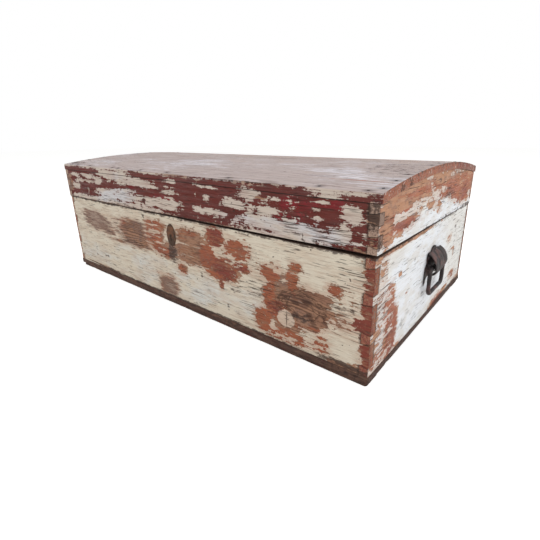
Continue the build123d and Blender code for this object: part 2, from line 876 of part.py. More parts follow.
# The hinges stand out at the back, so the whole trunk moves forward until the origin is under its middle.
nearest = min(piece.bounding_box().min.Y for piece in nodes.values())
farthest = max(piece.bounding_box().max.Y for piece in nodes.values())
forward = -(nearest + farthest) / 2

os.makedirs("parts", exist_ok=True)
for name, piece in nodes.items():
    export_step(Pos(0, forward, 0) * piece, f"parts/{name}.step")
print(f"{len(nodes)} nodes")
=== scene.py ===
import itertools
import math

import bmesh
import bpy
import numpy as np
from mathutils import Matrix, Vector, noise


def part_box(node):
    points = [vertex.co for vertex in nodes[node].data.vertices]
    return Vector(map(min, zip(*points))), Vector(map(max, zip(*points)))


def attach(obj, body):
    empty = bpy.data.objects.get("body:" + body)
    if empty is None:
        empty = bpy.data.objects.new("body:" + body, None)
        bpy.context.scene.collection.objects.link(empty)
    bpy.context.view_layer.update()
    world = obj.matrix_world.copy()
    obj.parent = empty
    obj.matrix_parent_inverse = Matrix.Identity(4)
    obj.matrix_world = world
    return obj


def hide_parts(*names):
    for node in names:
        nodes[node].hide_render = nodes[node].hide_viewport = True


# A low pine trunk with worn milk paint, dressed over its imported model.
# Lengths are in metres unless a name ends in mm or a comment says millimetres.

MM = 0.001
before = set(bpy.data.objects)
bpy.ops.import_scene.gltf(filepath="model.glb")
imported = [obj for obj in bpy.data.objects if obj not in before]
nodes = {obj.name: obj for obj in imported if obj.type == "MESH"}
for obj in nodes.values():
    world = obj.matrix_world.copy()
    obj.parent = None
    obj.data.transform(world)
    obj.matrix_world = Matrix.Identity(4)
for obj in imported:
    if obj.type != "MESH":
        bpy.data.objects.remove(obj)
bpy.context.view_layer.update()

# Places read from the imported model

front_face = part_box("front_board")[0].y
back_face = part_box("back_board")[1].y
end_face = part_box("right_end_board")[1].x
middle_y = (front_face + back_face) / 2
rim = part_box("front_board")[1].z
lid_low, lid_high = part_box("lid_front_board")[0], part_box("lid_back_board")[1]
# The outside of body and lid: front, back, right end, the edge at the seam and the way that this edge faces.
outsides = {
    "carcass": (front_face, back_face, end_face, rim, 1),
    "lid": (lid_low.y, lid_high.y, lid_high.x, lid_low.z, -1),
}

# Sizes of cells and wear, in millimetres

weld_mm = 0.02
cell_mm = 5.0
edge_cells_mm = (0.9, 2.2, 4.2)
edge_gap_mm = 1.2
edge_least_spans = 2.6
arris_mm = 0.5
corner_wear_mm = 2.6
rim_wear_mm = 1.1
roof_arris_wear_mm = 4.5
plank_end_wear_mm = 2.2
plank_joint_wear_mm = 0.9
floor_corner_mm = 6.0
board_dip_mm = 0.16
plank_dip_mm = 0.22
seam_darkening_mm = 2.2
seam_darkening_slope = 2.2
board_near_mm = 5.0
plank_thickness_mm = 14.0
plank_upright_mm = 6.0
plank_joint_mm = 0.6
# Width of the near-black line along floor joints, painted shade for the gaps between floor boards, runners
# and body.
floor_joint_mm = 0.7
forged_cell_mm = 0.9
nail_dent_mm = 0.35
board_cell = 1 * cell_mm * MM

# Wear along an arris: the wave length of its swing and of its chips, then as shares of its size
# its mean, its swing, the noise above which a chip starts, how deep chips go, and its least and most.
wear_wave_mm, chip_wave_mm = 60, 11
wear_mean, wear_swing, chip_level, chip_share, wear_limits = 0.75, 0.5, 0.25, 2.2, (0.35, 2.4)
# The waves of an uneven face: how long they are along the grain of a board and of a plank, and across it.
board_wave_mm, plank_wave_mm, wave_across_mm = 120, 150, 20
# Two boards share each corner, so its wear has the same seed on both. Each plank has its own.
CORNER_SEEDS = {"lid": 3, "carcass": 4}
plank_seed = 20
# The stain round a nail: its reach, how much longer it is along the grain, and its strength, in the middle
# and at most.
stain_mm, stain_longer, stain_core, stain_most = 6.0, 1.8, 1.2, 0.8
# Hammer marks: how wide blows and pits are, then their mean depth, each one's share and the most of both.
blow_mm, pit_mm, mark_mean, blow_share, pit_share, mark_most = 9, 3, 0.5, 0.8, 0.35, 1.3
# The flutes of a hood: their depth, then as shares of its half width and of its height how far out they run,
# how much they lean, how wide they are, where they start and how soon they are full.
flute_mm, flute_out, flute_lean, flute_width, flute_start, flute_fade = 1.7, 0.32, 0.2, 0.13, 0.2, 0.35
# The radius and height of a nail's head.
roof_head_mm, ironwork_head_mm = (2.9, 0.9), (3.5, 1.3)
# Edges flatter than the first angle are dissolved, those sharper than the second are bevelled,
# and those sharper than the third are shaded sharp.
flat_angle, arris_angle, smooth_angle = math.radians(0.4), math.radians(30), math.radians(40)
# How far a seed moves the noise along each axis.
SEED_STEPS = (17.3, 7.1, 3.7)
# How squarely a point must face a way to count as lying on that side.
FACING = 0.5
MOSTLY_FACING = 0.6
SQUARELY_FACING = 0.7

# The arc of the roof

lid_rise_mm = 21.0
roof_top_mm = max(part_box(node)[1].z for node in nodes if node.startswith("roof_plank")) / MM
roof_edge_mm = roof_top_mm - lid_rise_mm
half_lid_mm = (lid_high.y - lid_low.y) / 2 / MM
lid_middle_mm = (lid_high.y + lid_low.y) / 2 / MM
roof_radius_mm = (half_lid_mm**2 + lid_rise_mm**2) / (2 * lid_rise_mm)
roof_centre_mm = roof_top_mm - roof_radius_mm

# The photograph's viewpoint: its place from the middle of the body, where it looks, its lens and its shift.

view_place = (0.6416, -0.6854, 0.3592)
view_yaw, view_pitch, view_roll = math.radians(-37.93), math.radians(17.885), math.radians(0.399)
view_lens_mm = 23.884
view_shift = (-0.03217, -0.03324)

# Each softbox: its name, its place, its width and its power. All face the middle of the trunk.
softboxes = (
    ("key_softbox", (2.4, -1.6, 2.2), 1.8, 40),
    ("fill_softbox", (-1.6, -3.0, 1.6), 2.0, 27),
    ("top_softbox", (0.2, 0.6, 3.0), 2.4, 26),
    ("right_softbox", (3.2, 0.9, 0.9), 1.6, 27),
)
sky_light = 0.46
paper_glow = 0.58
floor_reach = 12.0


def merged(node):
    """A copy of a CAD node's mesh, with its loose triangles joined."""
    bm = bmesh.new()
    bm.from_mesh(nodes[node].data)
    bmesh.ops.remove_doubles(bm, verts=bm.verts, dist=weld_mm * MM)
    return bm


def loose_solids(node):
    """The points of each separate solid of a CAD node."""
    bm = merged(node)
    left = set(bm.verts)
    solids = []
    while left:
        grown = [left.pop()]
        solid = []
        while grown:
            vert = grown.pop()
            solid.append(tuple(vert.co))
            for edge in vert.link_edges:
                other = edge.other_vert(vert)
                if other in left:
                    left.remove(other)
                    grown.append(other)
        solids.append(np.array(solid))
    bm.free()
    return solids


def nail_heads(node):
    """The middle of each nail's head in a node, and the way that the head faces."""
    end = 0.1 * MM
    heads = []
    for solid in loose_solids(node):
        middle = solid.mean(0)
        way = np.linalg.svd(solid - middle)[2][0]
        along = (solid - middle) @ way
        ends = [solid[along > along.max() - end], solid[along < along.min() + end]]
        width = [np.ptp(end_points, axis=0).max() for end_points in ends]
        side = 0 if width[0] > width[1] else 1
        heads.append((ends[side].mean(0), way * (1 - 2 * side)))
    return sorted(heads, key=lambda head: tuple(head[0]))


roof_nail_places = [place for place, way in nail_heads("roof_nails")]


def linear(code):
    """An sRGB hex colour as the linear RGBA that shaders take."""
    values = [int(code[i : i + 2], 16) / 255 for i in (1, 3, 5)]
    return (*[v / 12.92 if v <= 0.04045 else ((v + 0.055) / 1.055) ** 2.4 for v in values], 1.0)


def tones(**codes):
    """Named colours, from their sRGB hex codes."""
    return {name: linear(code) for name, code in codes.items()}


def in_scene(name, data):
    """A new object of the scene."""
    made = bpy.data.objects.new(name, data)
    bpy.context.scene.collection.objects.link(made)
    return made


def empty_tree(owner):
    """The node tree of a material or a world, with nothing in it yet."""
    owner.use_nodes = True
    owner.node_tree.nodes.clear()
    return owner.node_tree


def add(tree, kind, links=None, **settings):
    """Adds a node with its settings. An input goes by name or number and takes a value, socket or node."""
    made = tree.nodes.new(kind)
    for name, value in settings.items():
        setattr(made, name, value)
    for key, value in (links or {}).items():
        shown = [i for i in made.inputs if i.enabled and i.name == key]
        socket = made.inputs[key] if isinstance(key, int) else shown[0]
        if isinstance(value, bpy.types.Node):
            value = next(o for o in value.outputs if o.enabled)
        if isinstance(value, bpy.types.NodeSocket):
            tree.links.new(value, socket)
        else:
            socket.default_value = value
    return made


# Camera and light


def camera():
    """The photograph's viewpoint: to the right of the front, a little above the lid."""
    ahead = Vector((math.sin(view_yaw), math.cos(view_yaw), 0))
    forward = math.cos(view_pitch) * ahead - Vector((0, 0, math.sin(view_pitch)))
    level = Vector((math.cos(view_yaw), -math.sin(view_yaw), 0))
    down = forward.cross(level)
    right = math.cos(view_roll) * level + math.sin(view_roll) * down
    up = math.sin(view_roll) * level - math.cos(view_roll) * down
    data = bpy.data.cameras.new("camera")
    data.sensor_width = 36.0
    data.lens = view_lens_mm
    data.shift_x, data.shift_y = view_shift
    made = in_scene("camera", data)
    turned = Matrix((right, up, -forward)).transposed().to_4x4()
    made.matrix_world = Matrix.Translation(Vector((0, middle_y, 0)) + Vector(view_place)) @ turned
    bpy.context.scene.camera = made


def soft_lamp(name, place, aim, width, power):
    """A square softbox that faces a point."""
    data = bpy.data.lights.new(name, "AREA")
    data.size = width
    data.energy = power
    direction = Vector(aim) - Vector(place)
    turned = direction.to_track_quat("-Z", "Y").to_matrix().to_4x4()
    in_scene(name, data).matrix_world = Matrix.Translation(place) @ turned


def studio():
    """A white sweep with soft light from above and both sides."""
    scene = bpy.context.scene
    scene.view_settings.view_transform = "Standard"
    scene.world = bpy.data.worlds.new("studio")
    tree = empty_tree(scene.world)
    rays = add(tree, "ShaderNodeLightPath").outputs
    seen = {0: rays["Is Camera Ray"], 1: rays["Is Glossy Ray"]}
    seen = add(tree, "ShaderNodeMath", seen, operation="MAXIMUM")
    level = add(tree, "ShaderNodeMapRange", {"Value": seen, "To Min": sky_light, "To Max": 1.0})
    sky = add(tree, "ShaderNodeBackground", {"Color": (1, 1, 1, 1), "Strength": level})
    add(tree, "ShaderNodeOutputWorld", {"Surface": sky})

    mesh = bpy.data.meshes.new("studio_floor")
    corners = [(x * floor_reach, y * floor_reach, 0) for x, y in ((-1, -1), (1, -1), (1, 1), (-1, 1))]
    mesh.from_pydata(corners, [], [(0, 1, 2, 3)])
    floor = in_scene("studio_floor", mesh)
    # White paper: matt, and brighter to the camera alone, so that it shows white under a plain light.
    paper = bpy.data.materials.new("white_backdrop_paper")
    tree = empty_tree(paper)
    to_camera = add(tree, "ShaderNodeLightPath").outputs["Is Camera Ray"]
    matt = add(tree, "ShaderNodeBsdfDiffuse", {"Color": linear("#f2f2f0")})
    glow = add(tree, "ShaderNodeEmission", {"Color": (1, 1, 1, 1), "Strength": paper_glow})
    both = add(tree, "ShaderNodeAddShader", {0: matt, 1: glow})
    shown = add(tree, "ShaderNodeMixShader", {0: to_camera, 1: matt, 2: both})
    add(tree, "ShaderNodeOutputMaterial", {"Surface": shown})
    mesh.materials.append(paper)

    for name, place, width, power in softboxes:
        soft_lamp(name, place, (0, 0, 0.15), width, power)


# Wooden pieces: their meshes


def own_seed(node):
    """A piece's own fixed seed, from its name."""
    return sum(ord(letter) for letter in node) % 50


def body_of(node):
    """The body that a board is part of."""
    return "lid" if node.startswith("lid") else "carcass"


def stations(low, high, cell):
    """Places to cut a board at: close together by its edges and a cell apart between."""
    span = high - low
    near = [d * MM for d in edge_cells_mm if edge_least_spans * d * MM < span]
    count = max(1, round(span / cell))
    inner = [span * i / count for i in range(1, count)]
    edge = near[-1] + edge_gap_mm * MM if near else 0.0
    places = near + [span - d for d in near] + [p for p in inner if edge < p < span - edge]
    return sorted(low + p for p in places)


def fine_noise(co, wave, seed):
    """Smooth noise from -1 to 1 at each point, with a wave length for each axis."""
    shift = Vector([seed * step for step in SEED_STEPS])
    return np.array([noise.noise(Vector(place) + shift) for place in co / np.array(wave)])


def rub(co, first, second, radius):
    """Rounds each arris between two sets of planes. A plane is its axis, its way out and its coordinate."""
    for (u, su, u_place), (v, sv, v_place) in itertools.product(first, second):
        du = (co[:, u] - u_place) * su + radius
        dv = (co[:, v] - v_place) * sv + radius
        length = np.hypot(du, dv)
        worn = (du > 0) & (dv > 0) & (length > radius)
        shrink = np.where(worn, radius / np.maximum(length, radius), 1.0)
        co[:, u] += su * du * (shrink - 1)
        co[:, v] += sv * dv * (shrink - 1)


def wear_radius(co, axis, size_mm, seed):
    """How far an arris is rubbed back along its length, with chips here and there."""
    line = np.zeros_like(co)
    line[:, 0] = co[:, axis]
    slow = fine_noise(line, (wear_wave_mm * MM, 1, 1), seed)
    quick = fine_noise(line, (chip_wave_mm * MM, 1, 1), seed + 5)
    chips = np.maximum(0, quick - chip_level) * chip_share
    return size_mm * MM * np.clip(wear_mean + wear_swing * slow + chips, *wear_limits)


def dip(co, normal, depth_mm, wave, seed):
    """Sinks the faces of a board unevenly, longest along its grain."""
    co -= normal * (depth_mm * MM * (1 + fine_noise(co, wave, seed)))[:, None]


def end_grain(node, normal, least):
    """Which points lie on the ends of a board."""
    axis = 1 if "end" in node else 0
    return np.abs(normal[:, axis]) > least


def finish_mesh(name, bm):
    """The plain mesh of a piece, with its sharp edges kept."""
    mesh = bpy.data.meshes.new(name)
    bm.to_mesh(mesh)
    bm.free()
    mesh.shade_smooth()
    mesh.set_sharp_from_angle(angle=smooth_angle)
    return mesh


def piece(name, mesh, body, material, slot, *replaced):
    """A finished piece on its body, standing for its CAD nodes."""
    made = in_scene(name, mesh)
    mesh.materials.clear()
    mesh.materials.append(material)
    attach(made, body)
    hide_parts(*replaced)


def cut_board(node):
    """A copy of a board in small cells, with a narrow bevel on every arris."""
    bm = merged(node)
    bmesh.ops.dissolve_limit(bm, angle_limit=flat_angle, verts=bm.verts, edges=bm.edges)
    low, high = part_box(node)
    for axis, size in enumerate((board_cell, board_cell, 0.6 * board_cell)):
        way = Vector([float(other == axis) for other in range(3)])
        for place in stations(low[axis], high[axis], size):
            everything = bm.verts[:] + bm.edges[:] + bm.faces[:]
            bmesh.ops.bisect_plane(bm, geom=everything, plane_co=place * way, plane_no=way, dist=0.01 * MM)
    arris = [e for e in bm.edges if len(e.link_faces) == 2 and e.calc_face_angle(0) > arris_angle]
    size = arris_mm * MM
    made = bmesh.ops.bevel(bm, geom=arris, offset=size, segments=1, affect="EDGES", clamp_overlap=True)
    # Its bevel faces are marked to be drawn near-black: the dark line of a joint between boards, which along
    # open gaps is painted shade.
    joint = bm.verts.layers.float.new("joint")
    for face in made["faces"]:
        for vert in face.verts:
            vert[joint] = 1.0
    return bm


def grid_block(low, high, cell):
    """A closed block of small cells between two corners, finer towards its arrises."""
    lines = [[low[a], *stations(low[a], high[a], cell), high[a]] for a in range(3)]
    bm = bmesh.new()
    made = {}

    def corner(i, j, k):
        key = (i, j, k)
        if key not in made:
            made[key] = bm.verts.new((lines[0][i], lines[1][j], lines[2][k]))
        return made[key]

    last = [len(line) - 1 for line in lines]
    for axis in range(3):
        u, v = [(1, 2), (2, 0), (0, 1)][axis]
        for side in (0, 1):
            for i in range(last[u]):
                for j in range(last[v]):
                    loop = []
                    for di, dj in ((0, 0), (1, 0), (1, 1), (0, 1)):
                        index = [0, 0, 0]
                        index[axis] = side * last[axis]
                        index[u] = i + di
                        index[v] = j + dj
                        loop.append(corner(*index))
                    bm.faces.new(loop if side else loop[::-1])
    return bm


def points_of(bm):
    """The places and normals of a mesh's points."""
    bm.normal_update()
    bm.verts.ensure_lookup_table()
    co = np.array([v.co for v in bm.verts], float).reshape(-1, 3)
    normal = np.array([v.normal for v in bm.verts], float).reshape(-1, 3)
    return co, normal


def move_points(bm, co):
    """Puts the points of a mesh at new places."""
    for vert, place in zip(bm.verts, co):
        vert.co = place


# Wooden pieces: where their paint is worn, in millimetres from the middle of the body and up from the floor.
# A spot is its middle along the board, its middle height, its half length, its half height
# and, where it is only thinly worn, the most that it counts for.

BARE = -60.0
FULL = 60.0
least_depth_mm = 13.0
WORN = ("primer", "cream", "maroon", "dirt", "cool", "deep", "grey", "checks", "rubbed", "halo")
# What the mesh of a board keeps at each point for its material, three numbers to an attribute.
KEPT = {
    "paint_left": ("primer", "cream", "maroon"),
    "paint_tint": ("dirt", "cool", "deep"),
    "wood_marks_and_gap_shade": ("line", "grey", "joint"),
    "wood_wear": ("checks", "end", "stain"),
    "paint_edge": ("rubbed", "halo", "figure"),
}


def spots(along, height, places, roundness=2.6):
    """How deep inside the nearest of some spots each point lies, in millimetres."""
    field = np.full(len(along), BARE)
    for middle, level, half_length, half_height, *most in places:
        away_along = np.abs((along - middle) / half_length) ** roundness
        away_up = np.abs((height - level) / half_height) ** roundness
        away = (away_along + away_up) ** (1 / roundness)
        depth = (1 - away) * max(min(half_length, half_height), least_depth_mm)
        field = np.maximum(field, np.minimum(depth, most[0] if most else FULL))
    return np.clip(field, BARE, FULL)


FRONT_BODY = {
    "cream lost": [
        (-340, 164, 50, 11), (-320, 151, 62, 15), (-302, 136, 54, 11), (-270, 128, 30, 5, 4),
        (-228, 148, 26, 20, -3), (-150, 150, 58, 28), (-142, 130, 66, 19), (-220, 113, 46, 4, 3),
        (-58, 176, 34, 12, 3), (-62, 148, 36, 26, 5), (-34, 122, 34, 12, 6), (-12, 128, 30, 18),
        (62, 164, 42, 24), (66, 134, 50, 24), (112, 136, 26, 26), (140, 182, 25, 20), (196, 166, 33, 18),
        (150, 122, 46, 24), (205, 136, 26, 8, 1), (151, 93, 6, 12), (31, 95, 14, 11), (-25, 42, 32, 21),
        (-35, 66, 30, 5, -1), (278, 142, 26, 16), (320, 142, 12, 15), (327, 164, 11, 8), (335, 96, 60, 38),
        (307, 67, 28, 27), (278, 92, 20, 38), (258, 50, 22, 24), (300, 34, 50, 12, 2),
        (375, 42, 16, 16, 2), (372, 124, 22, 9), (398, 143, 13, 10), (420, 95, 32, 12, 1),
        (442, 98, 12, 14), (425, 130, 26, 26, -5), (462, 110, 17, 120), (-459, 130, 9, 62, 2),
        (-458, 70, 7, 50, 0), (425, 23, 40, 5, 3), (-370, 24, 40, 1.5, 1), (-300, 22, 34, 3, 2),
    ],
    "cream kept": [
        (307, 67, 18, 16), (278, 47, 7, 12), (358, 53, 12, 9), (350, 34, 12, 6, 2), (290, 148, 7, 4),
        (427, 113, 5, 18), (180, 152, 12, 5), (-60, 163, 20, 4, 3), (-42, 140, 16, 3, 2),
        (150, 158, 16, 3, 1), (60, 152, 34, 1.5, 1), (84, 168, 30, 1.5, 1), (46, 128, 26, 1.5, 0),
        (-66, 152, 28, 1.5, 1), (-58, 176, 24, 2, 1), (-30, 126, 18, 1.5, 0),
    ],
    "primer": [
        (-228, 148, 24, 20, -2), (-195, 170, 12, 8, 1), (-58, 176, 34, 14, 3), (-66, 146, 30, 24, 4),
        (-34, 120, 30, 10, 1), (62, 172, 40, 8, -4), (48, 132, 20, 10, -6), (120, 140, 24, 28),
        (140, 182, 25, 22), (196, 166, 33, 20), (150, 122, 46, 26), (205, 136, 26, 10), (151, 93, 6, 14),
        (31, 95, 14, 11, 2), (-25, 66, 40, 5, 0), (-62, 30, 12, 10, -1), (12, 40, 8, 20, -1),
        (272, 142, 20, 17), (320, 140, 12, 17), (327, 164, 11, 8), (270, 100, 13, 34), (286, 78, 20, 17),
        (258, 50, 20, 26), (305, 36, 60, 13), (375, 42, 16, 16), (360, 62, 34, 6, -1), (398, 143, 13, 10),
        (442, 98, 12, 14), (462, 110, 20, 130), (-459, 120, 9, 70, 2), (420, 96, 26, 10, -3),
    ],
    "deep": [
        (140, 182, 24, 22), (165, 118, 40, 18), (205, 136, 26, 12), (462, 110, 30, 150), (286, 80, 20, 16),
        (-459, 130, 9, 60), (151, 93, 8, 14), (442, 98, 12, 14),
    ],
    "grey": [
        (-325, 150, 90, 40), (-150, 150, 70, 36, -1), (-24, 44, 40, 28), (2, 128, 17, 20),
        (300, 132, 22, 12), (340, 78, 20, 14, 3),
    ],
    "cool": [
        (-390, 80, 60, 14), (-140, 76, 70, 16), (-290, 60, 60, 12), (-200, 40, 60, 10), (-60, 96, 40, 6),
        (-260, 64, 190, 36, 0), (110, 70, 110, 24, -4),
    ],
    "dirt": [
        (2, 126, 13, 19), (-300, 20, 50, 4), (-20, 20, 300, 2), (425, 23, 44, 5), (-380, 24, 30, 1, 1),
        (338, 76, 12, 8, -2), (-300, 58, 9, 2.5, 2), (93, 94, 3, 6, 1), (167, 46, 3, 6, 1),
        (-99, 192, 4, 9, 0), (-354, 66, 5, 14, -3), (-98, 80, 5, 3, 1), (408, 118, 30, 3, -1),
    ],
    "rubbed": [
        (-320, 150, 100, 50), (-150, 145, 90, 44), (-25, 44, 60, 34), (4, 128, 18, 22),
        (-230, 140, 60, 40), (60, 148, 40, 30, 2), (-60, 150, 30, 24, 0),
    ],
    "checks": [
        (225, 96, 36, 10, -2), (420, 110, 34, 16, 4), (425, 150, 26, 30, 1), (-240, 114, 60, 6),
        (-150, 118, 70, 6), (20, 186, 30, 6, 1), (60, 120, 60, 8, 0),
    ],
}
FRONT_LID = {
    "maroon lost": [
        (-345, 267, 76, 5.5), (-282, 260, 16, 11), (-355, 254, 46, 4), (-410, 238, 25, 7.5),
        (-340, 229, 5, 8), (-225, 277, 48, 10), (-172, 273, 52, 13), (-120, 266, 60, 9), (-72, 264, 34, 8),
        (-226, 267, 16, 7, 1), (-245, 228, 55, 10), (-160, 231, 58, 15), (-60, 229, 60, 8),
        (0, 228, 42, 10), (-220, 210, 235, 7), (16, 277, 20, 4, 3), (14, 264, 18, 2, 1),
        (20, 254, 26, 4, 3), (10, 244, 14, 1.5, 0), (127, 253, 9, 5, 2), (95, 256, 3, 4),
        (125, 274, 24, 2.5, 1), (97, 279, 10, 3, 0), (152, 229, 32, 7), (100, 230, 14, 4, -1),
        (70, 222, 4, 5, 2), (202, 251, 34, 8), (233, 270, 26, 11), (256, 248, 36, 7, 1),
        (310, 223, 114, 16), (300, 210, 106, 6), (280, 264, 20, 6, 0), (331, 241, 7, 3, -2),
        (366, 245, 11, 6, 3), (421, 258, 18, 11), (380, 282, 28, 5, 4), (372, 271, 14, 3),
        (405, 228, 22, 14, 4), (320, 268, 12, 8, -1), (345, 258, 20, 6, -4), (-450, 240, 16, 24, 2),
        (60, 207, 150, 2, 1), (214, 222, 22, 16, 4), (330, 288, 120, 2.5, 1),
    ],
    "maroon kept": [
        (-83, 226, 6, 9, 8), (-375, 266, 10, 4, 2), (205, 262, 30, 2, 2), (258, 262, 14, 4, 2),
        (310, 236, 30, 2, 0), (-262, 273, 18, 3, 0), (70, 250, 22, 40),
    ],
    "bare": [
        (95, 207, 110, 3, 3), (-446, 242, 18, 24, 5), (430, 209, 22, 6, 3), (454, 262, 8, 16, 5),
        (454, 222, 7, 14, 0), (-220, 206, 230, 1.5, 1), (150, 288, 90, 3, 4), (260, 268, 12, 3, 0),
    ],
    "deep": [
        (322, 262, 24, 9), (398, 268, 16, 7), (365, 266, 40, 5, 2), (-10, 243, 40, 4, 2),
        (-125, 256, 14, 4, 2), (312, 246, 30, 5, 1), (300, 240, 20, 5, 1),
    ],
    "grey": [
        (95, 207, 120, 5), (454, 262, 10, 18), (454, 212, 9, 8), (150, 289, 90, 4), (-452, 240, 20, 30),
        (40, 232, 30, 8, -2),
    ],
    "cool": [(-205, 228, 60, 11), (300, 224, 70, 8, -4), (-190, 277, 30, 6, 0)],
    "dirt": [
        (60, 204, 150, 1.5), (-83, 226, 5, 10, 2), (454, 262, 10, 18, 4), (200, 290, 60, 2, 1),
        (360, 277, 90, 0.8, 2), (-220, 215, 60, 1.5, 0), (342, 216, 2, 6, 2), (362, 213, 4, 2, 2),
        (222, 213, 3, 2, 2),
    ],
    "checks": [(350, 222, 80, 16), (452, 240, 9, 44), (-220, 210, 200, 6, 2), (230, 255, 60, 14, -3)],
}
RIGHT_BODY = {
    "cream lost": [
        (-203, 112, 20, 34, 3), (-188, 62, 26, 44, 4), (-172, 56, 10, 30), (-236, 80, 26, 72, -1),
        (-215, 30, 40, 16, 0), (-240, 168, 20, 38, -2), (-140, 201, 120, 3), (-165, 154, 6, 3),
        (-128, 108, 5, 2), (118, 148, 14, 7, 1), (158, 116, 12, 3, 0), (168, 106, 5, 10, 0),
        (176, 47, 22, 9, 1), (72, 21, 42, 11, 8), (120, 30, 26, 4, 1), (254, 110, 9, 100, -1),
        (230, 24, 40, 5, 0), (-200, 22, 60, 4, 1),
    ],
    "cream kept": [(-226, 60, 10, 14, 1), (-214, 88, 8, 6, 1), (-206, 128, 6, 7, 0)],
    "primer": [
        (-203, 112, 20, 36), (-182, 62, 22, 48), (-172, 56, 12, 32), (-236, 80, 26, 72, -1),
        (-215, 30, 40, 16, 1), (-240, 168, 20, 38, -1), (-165, 154, 6, 3), (-128, 108, 5, 2),
        (118, 148, 14, 7, 0), (158, 116, 12, 3, 0), (168, 106, 5, 10, 0), (176, 47, 22, 9, 1),
        (72, 21, 42, 11, 8), (256, 110, 7, 100, 0),
    ],
    "deep": [
        (72, 21, 44, 13, 12), (-182, 60, 20, 40, 5), (-165, 154, 6, 4, 9), (-128, 108, 5, 3, 9),
        (-260, 100, 5, 90), (176, 47, 18, 7, 5),
    ],
    "grey": [(254, 110, 12, 100), (-240, 168, 20, 38, 1)],
    "cool": [(-70, 110, 170, 90), (60, 60, 80, 40, 2)],
    "dirt": [
        (254, 110, 9, 100, 0), (150, 21, 110, 3), (-165, 154, 4, 2.5), (160, 166, 8, 4, 1),
        (128, 32, 18, 2.5, 1), (74, 17, 34, 6, 1), (-60, 14, 190, 3, 2), (-140, 56, 5, 5, -2),
        (-60, 36, 8, 4, -2), (-100, 158, 5, 3, -1),
    ],
    "checks": [
        (-235, 150, 30, 44), (-230, 80, 36, 60, 2), (200, 100, 60, 80, -2), (-100, 165, 60, 20, -5),
    ],
}
RIGHT_LID = {
    "cream lost": [
        (-160, 276, 120, 20), (-236, 250, 28, 36), (-170, 238, 52, 13), (-90, 272, 60, 10, 3),
        (-30, 254, 34, 14, -1), (0, 280, 80, 12), (70, 268, 90, 22), (105, 252, 46, 16),
        (195, 256, 90, 36), (128, 230, 24, 6, 0), (2, 232, 12, 8, 0), (-110, 250, 16, 6, -1),
        (0, 292, 260, 9, 4),
    ],
    "cream kept": [
        (-166, 248, 34, 4), (-95, 256, 40, 6, 2), (26, 264, 18, 4, 2), (-40, 250, 16, 6, 0),
        (244, 232, 18, 6, 1),
    ],
    "primer": [
        (-175, 253, 40, 5), (-168, 233, 50, 8), (-90, 276, 80, 6, 2), (-20, 252, 32, 14, 0),
        (60, 262, 66, 14), (115, 248, 44, 14), (190, 240, 24, 24), (180, 268, 80, 12, 0),
        (128, 230, 24, 6), (230, 250, 24, 30, -1),
    ],
    "deep": [
        (192, 240, 26, 20, 10), (-165, 233, 44, 7, 9), (130, 228, 20, 6, 3), (-175, 254, 36, 3, 3),
        (60, 258, 60, 8, -1),
    ],
    "grey": [
        (-8, 283, 10, 5), (150, 284, 40, 5, 1), (150, 282, 30, 8, 2), (240, 262, 20, 30, 0),
        (-170, 272, 80, 10, 0), (90, 282, 90, 8, 0),
    ],
    "cool": [(0, 215, 240, 18), (60, 238, 40, 10, 1)],
    "dirt": [(-8, 284, 8, 4, 1), (-258, 226, 4, 8), (150, 210, 90, 1.2, 0)],
    "checks": [(-250, 250, 14, 36), (0, 262, 240, 24, -2)],
}
# Where dirt and red primer lie on the roof, as spots whose height is the place across the lid.
ROOF_DIRT = [
    (-430, -240, 34, 8, 1), (-463, -235, 5, 34, 3), (420, -100, 40, 60, -4), (-100, 180, 200, 40, -4),
]
ROOF_PRIMER = [(405, -212, 50, 1.6)]
ROOF_SPLITS = (-198, -167)

# The knots of the front board: middle and half size of each dark heart, and of the round knot's cap of cream.
KNOT_HEARTS = (
    ((327, 103), (9, 4)), ((350, 110), (11, 5)), ((309, 67), (1.1, 15)),
    ((309, 67), (5, 1.4)), ((180, 87), (5, 1.6)), ((249, 94), (5, 1.4)),
)
ROUND_KNOT = ((307, 67), (17.5, 16))
# The curved cracks by the knots: the area that shows them, then each oval they follow and half their width.
KNOT_CRACKS = (
    (
        (336, 98), (56, 34),
        (
            ((307, 67), (23, 21), 0.9), ((307, 67), (27, 25), 0.6), ((330, 99), (30, 17), 1.2),
            ((342, 98), (32, 20), 1.0), ((338, 94), (46, 29), 1.1), ((345, 90), (58, 38), 0.9),
        ),
    ),
    (
        (220, 98), (44, 20),
        (
            ((245, -12), (140, 115), 0.9), ((245, -12), (150, 126), 0.8),
            ((250, -12), (140, 108), 0.7), ((238, -20), (150, 110), 0.7),
        ),
    ),
)
# How dark a board is on its faces that point up or down and on its other faces, and how much more of each
# wear its end grain has, because end grain drinks paint and goes grey, most of all on the lid.
level_face_darkening_mm, upright_face_darkening_mm = 12.0, -14.0
END_GRAIN = {
    "lid": {"cream": -16, "maroon": -12, "grey": 62},
    "carcass": {"cream": -16, "maroon": -12, "grey": 20},
}
# The planks' front and back have less cream and more maroon than the lid's boards, and are bare at the top.
less_cream_mm, more_maroon_mm, bare_top_mm, bare_slope = 7.0, 2.0, 3.2, 2.2
# Their ends: how much primer is left, where it is thickest and how it thins from there, then the cream,
# where primer starts to deepen, over how far and between which limits, and the dirt by the top and by splits.
end_primer_mm, end_primer_place, end_primer_slope = 6.0, -40, 0.02
end_cream_mm, end_deep_place, end_deep_run, end_deep_limits = -14.0, 60, 12, (-10, 8)
end_dirt_mm, split_dirt_mm = 0.5, 3.0
# Their top: how grey it is in the middle, over how far back it loses one of that, and how checked it is.
top_grey_mm, top_grey_run, top_checks_mm = 6.0, 24, 53
# How dark the joints between planks are, and how strongly their growth rings show.
plank_joint_dark, plank_rings = 0.8, 0.6
# The wear of floor boards and runners, the same all over.
FLOOR_WEAR = {"primer": -7.0, "dirt": -3.0, "deep": 3.0, "stain": 0.0, "figure": 0.3}
